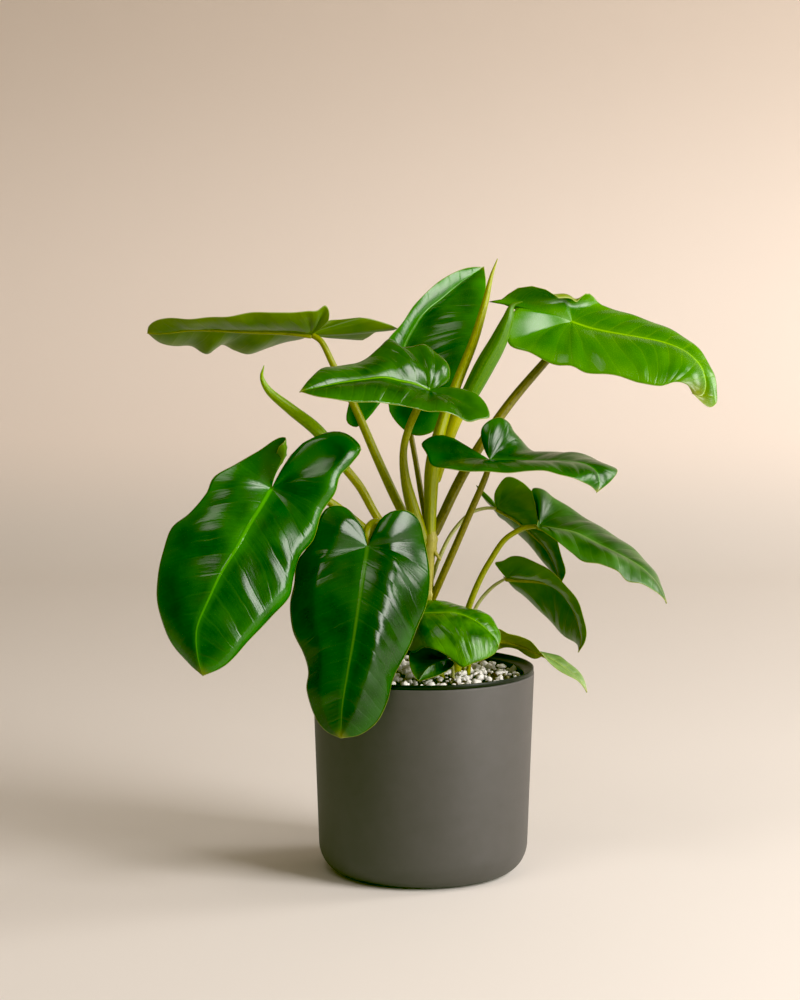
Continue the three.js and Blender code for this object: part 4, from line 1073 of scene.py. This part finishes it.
# %% Make a piece
def make_piece(name, parts):
    """One object from mesh parts; each part has points, faces, flat and edge coordinates, finishes."""
    points, faces, flats, edges, indices, finishes = [], [], [], [], [], []
    start = 0
    for part in parts:
        count = len(part["points"])
        points.append(part["points"])
        faces.extend(tuple(i + start for i in face) for face in part["faces"])
        flats.append(part["flat"])
        edges.append(part.get("edge", np.zeros((count, 2))))
        for index, finish in enumerate(part["finishes"]):
            if finish not in finishes:
                finishes.append(finish)
        indices.extend(finishes.index(part["finishes"][side]) for side in part["sides"])
        start += count
    mesh = bpy.data.meshes.new(name)
    mesh.from_pydata((np.vstack(points) * MM).tolist(), [], faces)
    corner_points = np.zeros(len(mesh.loops), int)
    mesh.loops.foreach_get("vertex_index", corner_points)
    for map_name, values in (("flat", np.vstack(flats)), ("edge", np.vstack(edges))):
        layer = mesh.uv_layers.new(name=map_name)
        layer.uv.foreach_set("vector", values[corner_points].astype(np.float32).ravel())
    mesh.polygons.foreach_set("material_index", indices)
    mesh.polygons.foreach_set("use_smooth", [True] * len(faces))
    for finish in finishes:
        mesh.materials.append(finish)
    mesh.update()
    piece = bpy.data.objects.new(name, mesh)
    bpy.context.collection.objects.link(piece)
    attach(piece, "root")
    return piece


print("pieces can be made")

# %% [markdown]
# ## The blades
#
# Every blade is a sheet made solid, with a rib on its underside that carries on from the petiole and
# thins out towards the tip.

# %% Blades
MARGIN_TAPER = 6.0
RIB_RADIUS = (2.0, 0.35)
RIB_DROP = 0.95
RIB_STATIONS = 13
RIB_SIDES = 12
RIB_FULL_LENGTH = 120


def tube_part(stations, finish, **shape):
    """A tube, ready for make_piece."""
    points, faces, flat = tube_sheet(stations, **shape)
    return {
        "points": points,
        "faces": faces,
        "sides": [0] * len(faces),
        "flat": flat / np.array([FLAT_UNIT, 1.0]),
        "finishes": [finish],
    }


def blade_parts(leaf):
    """The sheet of a blade and its rib, ready for make_piece."""
    points, faces, flat, edge, length = blade_sheet(leaf)
    depth = np.interp(edge[:, 1], [0, MARGIN_TAPER], [MARGIN_THICKNESS, BLADE_THICKNESS])
    normals = vertex_normals(points, faces)
    solid, all_faces, sides = thickened(points, faces, depth)
    skin = {
        "points": solid,
        "faces": all_faces,
        "sides": sides,
        "flat": np.tile(flat / FLAT_LEAF, (2, 1)),
        "edge": np.tile(edge / np.array([1.0, FLAT_UNIT]), (2, 1)),
        "finishes": [UPPER_SIDES[leaf["finish"]], UNDERSIDES[leaf["finish"]], UNDERSIDES[leaf["finish"]]],
    }
    picks = np.linspace(0, BODY_ROWS, RIB_STATIONS).astype(int)
    radii = np.linspace(*RIB_RADIUS, len(picks)) * min(1, length / RIB_FULL_LENGTH)
    spine = points[picks] - normals[picks] * (RIB_DROP * radii + BLADE_THICKNESS / 2)[:, None]
    return [skin, tube_part(np.column_stack([spine, radii]), STALKS["olive"], sides=RIB_SIDES)]


for name, leaf in LEAVES.items():
    blade = make_piece(name + "_leaf", blade_parts(leaf))
    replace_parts(blade, name + "_blade")
print("blades:", len(LEAVES))

# %% [markdown]
# ## The stalks
#
# Each stalk is listed from its leaf down to the crown, with the radius at each point in millimetres.
# The stems that stand in the soil run on below its surface.

# %% Stalk lines
STALK_LINES = {
    "upper_left_petiole": ("olive", [(-98, 60, 458, 2.4), (-89, 58, 452, 2.6), (-77, 54, 429, 3),
                                     (-60, 46, 397, 3.5), (-39, 34, 350, 4), (-23, 24, 316, 4.2),
                                     (-3, 8, 279, 4.2)]),
    "centre_left_petiole": ("olive", [(4, -40, 415, 2.6), (-5, -36, 400, 3.2), (-13, -28, 381, 3.2),
                                      (-17, -20, 363, 3.2), (-16, -14, 342, 4), (-10, -6, 315, 5.5),
                                      (0, 0, 284, 6)]),
    "back_petiole": ("brown", [(-23, 58, 425, 2.2), (-18, 50, 401, 2.2), (-11, 40, 373, 2.4),
                               (-6, 28, 347, 2.4), (-1, 16, 318, 2.6), (4, 8, 292, 2.6)]),
    "left_petiole": ("olive", [(-125.4, -60.6, 334.6, 2.4), (-110, -48, 336, 3), (-89, -36, 327, 3.5),
                               (-66, -24, 310, 3.8), (-33, -6, 278, 4), (1, 6, 235, 4)]),
    "front_petiole": ("olive", [(-47, -64, 286, 2.2), (-47, -58, 297, 4.2), (-41, -46, 304, 4.2),
                                (-27, -28, 292, 4), (-8, -10, 264, 4), (3, 2, 222, 4)]),
    "upper_right_petiole": ("brown", [(128, 38, 469, 2.4), (118, 36, 449, 3.2), (105, 34, 435, 3.6),
                                      (71, 28, 395, 4.2), (35, 16, 341, 4.4), (10, 4, 291, 4.2)]),
    "right_petiole": ("brown", [(55, -30, 356, 2), (53, -24, 344, 2.6), (38, -12, 306, 3),
                                (21, -4, 265, 3.2), (8, 2, 234, 3.2)]),
    "lower_right_petiole": ("olive", [(97, -10, 297.5, 1.8), (86, -10, 296, 2.2), (70, -10, 287, 2.4),
                                      (57, -8, 268, 2.5), (48, -6, 251, 2.6), (39, -4, 228, 2.8),
                                      (31, 0, 198, 3.4), (28, 2, 140, 4.2)]),
    "right_rear_petiole": ("pale", [(65, 40, 307, 1.2), (56, 36, 308, 1.5), (42, 28, 305, 1.6),
                                    (25, 16, 289, 1.7), (13, 8, 266, 1.8), (7, 4, 249, 1.8)]),
    "low_right_rear_petiole": ("pale", [(73, 30, 248, 1.2), (61, 26, 241, 1.5), (49, 20, 229, 1.6),
                                        (42, 16, 215, 1.7), (37, 12, 187, 2), (35, 10, 145, 2)]),
    "small_front_petiole": ("olive", [(0, -29, 225, 1.4), (5, -23, 212, 1.8), (13, -17, 186, 2.2),
                                      (18, -15, 145, 2.4)]),
    "low_right_petiole": ("olive", [(55, 0, 197, 1.4), (46, -1, 193, 1.8), (40, 0, 181, 2),
                                    (38, 2, 145, 2.2)]),
    "low_front_petiole": ("pale", [(20, -42, 189, 1.2), (24, -34, 183, 1.4), (24, -28, 150, 1.6)]),
    "rolled_petiole": ("yellow", [(-67, -4, 347, 3.8), (-54, 0, 330, 3.8), (-39, 4, 303, 3.6),
                                  (-20, 6, 279, 3.6), (1, 4, 258, 3.6)]),
    "unrolling_petiole": ("yellow", [(40, 6, 410, 5.5), (28, 6, 388, 5.5), (21, 5, 370, 5),
                                     (12, 4, 336, 3)]),
}
ROLLED_LINES = {
    "spear_leaf": ("spear", [(63, 22, 523, 0.4), (58, 20, 509, 1.6), (52, 17, 484, 3),
                              (43, 13, 454, 3.9), (29, 9, 419, 4.4), (17, 5, 387, 5),
                              (8, 2, 349, 6.5), (6, 1, 314, 5.5), (6, 0, 290, 4.5)]),
    "rolled_leaf": ("green", [(-134, -20, 434, 0.4), (-136, -19, 425, 1.6), (-131, -18, 414, 3),
                              (-113, -14, 398, 4.6), (-89, -10, 378, 5.4), (-67, -4, 347, 4.4)]),
    "unrolling_leaf": ("dark_green", [(83, 0, 487, 0.5), (75, 0, 484, 2), (71, 0, 472, 5),
                                      (63, 2, 453, 7.5), (52, 4, 433, 8.4), (40, 6, 410, 7.5)]),
}
MAIN_STEM = [(9, 8, 128, 6), (9, 8, 172, 6), (6, 4, 215, 5.5), (4, 3, 234, 5.3), (4, 3, 237, 6.5),
             (4, 3, 240, 5.3), (4, 2, 254, 5), (5, 1, 273, 5.4), (5, 1, 277, 7), (6, 0, 281, 5.6),
             (6, 0, 285, 6.6), (6, 0, 290, 5)]
AERIAL_ROOT = [(5, 0, 279, 2.4), (10, -2, 274, 1.8), (14, -3, 268, 1.2)]
MOST_PULL = 0.5
ROLL_SIDES = 28
ROLL_SEAM = 0.14


def pulled_back(first, second):
    """The first station of a stalk moved back so that its rounded end stays under the blade."""
    share = min(MOST_PULL, (first[3] + BLADE_THICKNESS) / math.dist(first[:3], second[:3]))
    return tuple(a + (b - a) * share for a, b in zip(first, second))


for name, (skin, stations) in STALK_LINES.items():
    if name.replace("_petiole", "") in LEAVES:
        stations = [pulled_back(*stations[:2]), *stations[1:]]
    stalk = make_piece(name + "_fine", [tube_part(stations, STALKS[skin])])
    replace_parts(stalk, name)
for name, (skin, stations) in ROLLED_LINES.items():
    part = tube_part(stations, STALKS[skin], sides=ROLL_SIDES, seam=ROLL_SEAM)
    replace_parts(make_piece(name + "_fine", [part]), name)
stem_parts = [tube_part(MAIN_STEM, STALKS["stem"]), tube_part(AERIAL_ROOT, STALKS["stem"])]
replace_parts(make_piece("stem_fine", stem_parts), "main_stem")
print("stalks:", len(STALK_LINES) + len(ROLLED_LINES) + 1)

# %% [markdown]
# ## Turned shapes
#
# Both pots are round, so each is an outline of radius and height that is turned about Z. The outline
# goes up the outside and down the inside, so the wall has its thickness.


# %% Turned shapes
TURN_SEGMENTS = 160
FOOT_STEPS = 14
LIP_STEPS = 12
MIDDLE = 0.01


def turned_part(profile, finish, segments=TURN_SEGMENTS):
    """A closed turned shape about Z from [radius, height] points in mm, ready for make_piece."""
    angle = np.linspace(0, 2 * math.pi, segments, endpoint=False)
    rows = [np.column_stack([r * np.cos(angle), r * np.sin(angle), np.full(segments, z)]) for r, z in profile]
    faces = []
    for i in range(len(profile) - 1):
        for k in range(segments):
            after = (k + 1) % segments
            faces.append((i * segments + k, i * segments + after, (i + 1) * segments + after,
                          (i + 1) * segments + k))
    height = np.repeat([z for r, z in profile], segments)
    flat = np.column_stack([height / FLAT_UNIT, np.tile(angle / (2 * math.pi), len(profile))])
    return {"points": np.vstack(rows), "faces": faces, "sides": [0] * len(faces), "flat": flat,
            "finishes": [finish]}


def rounded_foot(start, end):
    """[radius, height] points of a foot that leaves the floor level and turns up into a wall."""
    turns = [math.pi / 2 * i / FOOT_STEPS for i in range(FOOT_STEPS + 1)]
    return [(start[0] + (end[0] - start[0]) * math.sin(a), start[1] + (end[1] - start[1]) * (1 - math.cos(a)))
            for a in turns]


print("points round a turned shape:", TURN_SEGMENTS)

# %% [markdown]
# ## The cover pot
#
# Polypropylene, moulded, tinted all through, with a matt and slightly sandy skin. It takes no sharp
# highlight: its right side only grows brighter towards the light. The sand is finer than a pixel, so
# it shows as an even softness, and a faint cloudiness keeps the wall from looking like flat paint.

# %% Cover pot
COVER = {"top": 95, "low": 90, "foot": 70, "height": 172, "fillet": 25, "wall": 3, "floor": 4}
SAND_GRAIN = 0.136
SAND_DEPTH = 0.15 * MM
CLOUD_WIDTH = 13.57

matt, tree = new_finish("cover_pot_matt_plastic")
sand = add_node(tree, "TexNoise", {"Scale": 2 * COVER["top"] / SAND_GRAIN, "Detail": 2.0})
cloud = add_node(tree, "TexNoise", {"Scale": 2 * COVER["top"] / CLOUD_WIDTH, "Detail": 3.0})
tint = add_node(tree, "Mix", {0: cloud.outputs["Fac"], 6: linear("#454040"), 7: linear("#4D4849")},
                data_type="RGBA")
fleck = add_node(tree, "MapRange", {0: sand.outputs["Fac"], 1: 0.58, 2: 0.8, 4: 0.25})
tint = add_node(tree, "Mix", {0: fleck.outputs[0], 6: tint.outputs[2], 7: linear("#68625E")},
                data_type="RGBA")
bump = add_node(tree, "Bump", {"Height": sand.outputs["Fac"], "Strength": 0.25, "Distance": SAND_DEPTH})
inputs = {"Base Color": tint.outputs[2], "Roughness": 0.55, "Normal": bump.outputs[0]}
close_finish(tree, add_node(tree, "BsdfPrincipled", inputs))

wall, floor = COVER["wall"], COVER["floor"]
outside = rounded_foot((COVER["foot"], 0), (COVER["low"], COVER["fillet"]))
inside = rounded_foot((COVER["foot"], floor), (COVER["low"] - wall, COVER["fillet"] + floor / 2))
lip = [(COVER["top"] - wall / 2 + wall / 2 * math.cos(a), COVER["height"] - wall / 2 + wall / 2 * math.sin(a))
       for a in np.linspace(0, math.pi, LIP_STEPS)]
cover_profile = [(MIDDLE, 0), *outside, *lip, *reversed(inside), (MIDDLE, floor)]
cover = make_piece("cover_pot_fine", [turned_part(cover_profile, matt)])
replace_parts(cover, "cover_pot")
print("cover pot:", len(cover_profile), "points in its outline")

# %% [markdown]
# ## The nursery pot
#
# Thin black polypropylene, vacuum formed. Only a ledge and a narrow lip of it show, round the soil and
# over the cover pot's rim. Its skin is satin with a few scuffs, so it looks like a dark line with a
# soft shine. The outline starts at the middle of its floor, goes up under the lip and comes back down
# the inside.

# %% Nursery pot
NURSERY = {"top": 87, "foot": 74, "ledge": 171.4, "rim": 176, "wall": 1.6, "lip": 94.6}
NECK_GAP = 0.5
SEAT_GAP = 0.3
SCUFF_SIZE = 3.153

black, tree = new_finish("nursery_pot_black_plastic")
scuff = add_node(tree, "TexNoise", {"Scale": 2 * NURSERY["lip"] / SCUFF_SIZE, "Detail": 5.0})
rough = add_node(tree, "MapRange", {0: scuff.outputs["Fac"], 1: 0.35, 2: 0.7, 3: 0.36, 4: 0.46})
inputs = {"Base Color": linear("#060606"), "Roughness": rough.outputs[0], "IOR": 1.35}
close_finish(tree, add_node(tree, "BsdfPrincipled", inputs))

ledge, rim, lip_radius, thick = NURSERY["ledge"], NURSERY["rim"], NURSERY["lip"], NURSERY["wall"]
neck = COVER["top"] - COVER["wall"] - NECK_GAP
seat = COVER["height"] + SEAT_GAP
nursery_profile = [
    (MIDDLE, floor), (NURSERY["foot"] - 5, floor), (NURSERY["foot"], floor + 5),
    (NURSERY["top"] - 0.3, ledge - 3), (NURSERY["top"] + 0.4, ledge - 1.7), (neck - 0.6, ledge - 0.9),
    (neck, ledge - 0.2), (neck, seat), (lip_radius - 0.3, seat), (lip_radius, seat + 0.3),
    (lip_radius, rim - 0.6), (lip_radius - 0.3, rim - 0.1), (lip_radius - 0.8, rim),
    (lip_radius - 1.3, rim - 0.1), (lip_radius - thick, rim - 0.6), (lip_radius - thick - 0.3, ledge + 1.8),
    (neck - 1.4, ledge + 0.7), (NURSERY["top"] + 0.9, ledge + 0.1), (NURSERY["top"] + 0.3, ledge),
    (NURSERY["top"] - 0.5, ledge - 0.3), (NURSERY["top"] - 1.1, ledge - 1.2),
    (NURSERY["top"] - thick - 0.3, ledge - 3.5), (NURSERY["foot"] - 1, floor + 7),
    (NURSERY["foot"] - 6, floor + 1.6), (MIDDLE, floor + 1.6),
]
nursery = make_piece("nursery_pot_fine", [turned_part(nursery_profile, black)])
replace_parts(nursery, "nursery_pot")
print("nursery pot:", len(nursery_profile), "points in its outline")

# %% [markdown]
# ## The ground
#
# Potting mix is dark crumbs of peat. Its ground is a disc raised by noise at three scales, and level
# at its edge, where it meets the pot. Peat is dry on top and rough through and through, so it has no
# shine at all and each grain throws a shadow.

# %% Ground
SOIL_LEVEL = 168.0
SOIL_RADIUS = 84.6
GROUND_RINGS = 90
GROUND_SPOKES = 220
EDGE_FADE = 6
GROUND_NOISE = [(26, 3.1, 1.6), (7, 8.4, 1.1), (2.2, 1.7, 0.7)]
PEAT_GRAIN = 0.2417
PEAT_DEPTH = 0.8 * MM

peat, tree = new_finish("peat")
grain = add_node(tree, "TexNoise", {"Scale": 2 * SOIL_RADIUS / PEAT_GRAIN, "Detail": 6.0})
tint = add_node(tree, "Mix", {0: grain.outputs["Fac"], 6: linear("#0F0A06"), 7: linear("#4A3524")},
                data_type="RGBA")
bump = add_node(tree, "Bump", {"Height": grain.outputs["Fac"], "Strength": 0.9, "Distance": PEAT_DEPTH})
inputs = {"Base Color": tint.outputs[2], "Roughness": 0.9, "Normal": bump.outputs[0]}
close_finish(tree, add_node(tree, "BsdfPrincipled", inputs))


def ground_height(x, y):
    """Height of the soil's surface at a place, in mm."""
    bumps = sum(height * noise.noise(Vector((x / width, y / width, layer)))
                for width, layer, height in GROUND_NOISE)
    fade = min(1.0, (SOIL_RADIUS - math.hypot(x, y)) / EDGE_FADE)
    return SOIL_LEVEL + fade * bumps


points = [(0.0, 0.0, ground_height(0, 0))]
for ring in range(1, GROUND_RINGS + 1):
    for spoke in range(GROUND_SPOKES):
        angle = 2 * math.pi * spoke / GROUND_SPOKES
        radius = SOIL_RADIUS * ring / GROUND_RINGS
        x, y = radius * math.cos(angle), radius * math.sin(angle)
        points.append((x, y, ground_height(x, y)))
faces = [(0, 1 + k, 1 + (k + 1) % GROUND_SPOKES) for k in range(GROUND_SPOKES)]
for ring in range(GROUND_RINGS - 1):
    for k in range(GROUND_SPOKES):
        a, b = 1 + ring * GROUND_SPOKES + k, 1 + ring * GROUND_SPOKES + (k + 1) % GROUND_SPOKES
        faces.append((a, a + GROUND_SPOKES, b + GROUND_SPOKES, b))
ground = {"points": np.array(points), "faces": faces, "sides": [0] * len(faces),
          "flat": np.array(points)[:, :2] / FLAT_UNIT, "finishes": [peat]}
print("ground:", len(faces), "faces")

# %% [markdown]
# ## Round lumps
#
# Perlite, pebbles and bark crumbs all start as a small ball with faces of one size. An icosahedron has
# twelve corners on three crossed golden rectangles, and splitting each of its faces in four makes it
# round enough.

# %% Ball
GOLDEN = (1 + math.sqrt(5)) / 2
BALL_FACES = [(0, 11, 5), (0, 5, 1), (0, 1, 7), (0, 7, 10), (0, 10, 11), (1, 5, 9), (5, 11, 4), (11, 10, 2),
              (10, 7, 6), (7, 1, 8), (3, 9, 4), (3, 4, 2), (3, 2, 6), (3, 6, 8), (3, 8, 9), (4, 9, 5),
              (2, 4, 11), (6, 2, 10), (8, 6, 7), (9, 8, 1)]

rectangle = [(far, near) for far in (GOLDEN, -GOLDEN) for near in (-1, 1)]
ball_corners = [(near, far, 0) for far, near in rectangle]
ball_corners += [(0, near, far) for far, near in rectangle]
ball_corners += [(far, 0, near) for far, near in rectangle]


def finer_ball(points, faces):
    """Each triangle of a ball split in four."""
    points, halves, split = [*points], {}, []
    for face in faces:
        middles = []
        for a, b in zip(face, face[1:] + face[:1]):
            key = (min(a, b), max(a, b))
            if key not in halves:
                halves[key] = len(points)
                points.append(unit(points[a] + points[b]))
            middles.append(halves[key])
        split.extend([(face[0], middles[0], middles[2]), (face[1], middles[1], middles[0]),
                      (face[2], middles[2], middles[1]), tuple(middles)])
    return np.array(points), split


ball_points, ball_faces = finer_ball(unit(np.array(ball_corners, float)), BALL_FACES)
print("ball:", len(ball_faces), "faces")

# %% [markdown]
# ## Perlite and crumbs
#
# Perlite is volcanic glass puffed up by heat, like popcorn, so its lumps are white, matt and full of
# pores. Pebbles are greyish yellow, and bark crumbs dark brown. Each lump is a ball with its corners
# pushed in and out, then squashed and turned at random. A fixed seed makes each run the same.

# %% Perlite and crumbs
LUMPS = [
    # finish name, colours, count, smallest and largest radius in mm, how far out, seed
    ("perlite", ("#DEDACE", "#FFFDF8"), 430, (1.6, 4.1), 80.5, 5),
    ("pebble", ("#5C5636", "#9A9264"), 170, (1.3, 2.7), 82.0, 8),
    ("bark_crumb", ("#1C130B", "#5A4028"), 200, (1.0, 2.7), 83.0, 11),
]
PORE = 0.13
PORE_DEPTH = 0.4 * MM
FEW_LARGE = 1.8
UNEVENNESS = 0.16
SQUASH = (0.65, 1.1)
RISE = 0.35

soil_parts = [ground]
for name, (dark, pale), count, (small, large), reach, seed in LUMPS:
    finish, tree = new_finish(name)
    pores = add_node(tree, "TexNoise", {"Scale": 2 * SOIL_RADIUS / PORE, "Detail": 3.0})
    tint = add_node(tree, "Mix", {0: pores.outputs["Fac"], 6: linear(dark), 7: linear(pale)},
                    data_type="RGBA")
    bump = add_node(tree, "Bump", {"Height": pores.outputs["Fac"], "Strength": 0.6, "Distance": PORE_DEPTH})
    inputs = {"Base Color": tint.outputs[2], "Roughness": 0.85, "Normal": bump.outputs[0]}
    close_finish(tree, add_node(tree, "BsdfPrincipled", inputs))
    rng = np.random.default_rng(seed)
    points, faces = [], []
    for number in range(count):
        radius = small + (large - small) * rng.random() ** FEW_LARGE
        out, turn = reach * math.sqrt(rng.random()), 2 * math.pi * rng.random()
        x, y = out * math.cos(turn), out * math.sin(turn)
        bumpy = ball_points * (1 + UNEVENNESS * rng.standard_normal((len(ball_points), 1)))
        squash = radius * rng.uniform(*SQUASH, 3)
        spin = np.linalg.qr(rng.standard_normal((3, 3)))[0]
        place = np.array([x, y, ground_height(x, y) + RISE * radius])
        faces.extend(tuple(i + number * len(ball_points) for i in face) for face in ball_faces)
        points.append(bumpy * squash @ spin + place)
    points = np.vstack(points)
    soil_parts.append({"points": points, "faces": faces, "sides": [0] * len(faces),
                       "flat": points[:, :2] / FLAT_UNIT, "finishes": [finish]})
soil = make_piece("soil_fine", soil_parts)
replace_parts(soil, "soil")
print("perlite and crumbs:", sum(row[2] for row in LUMPS))
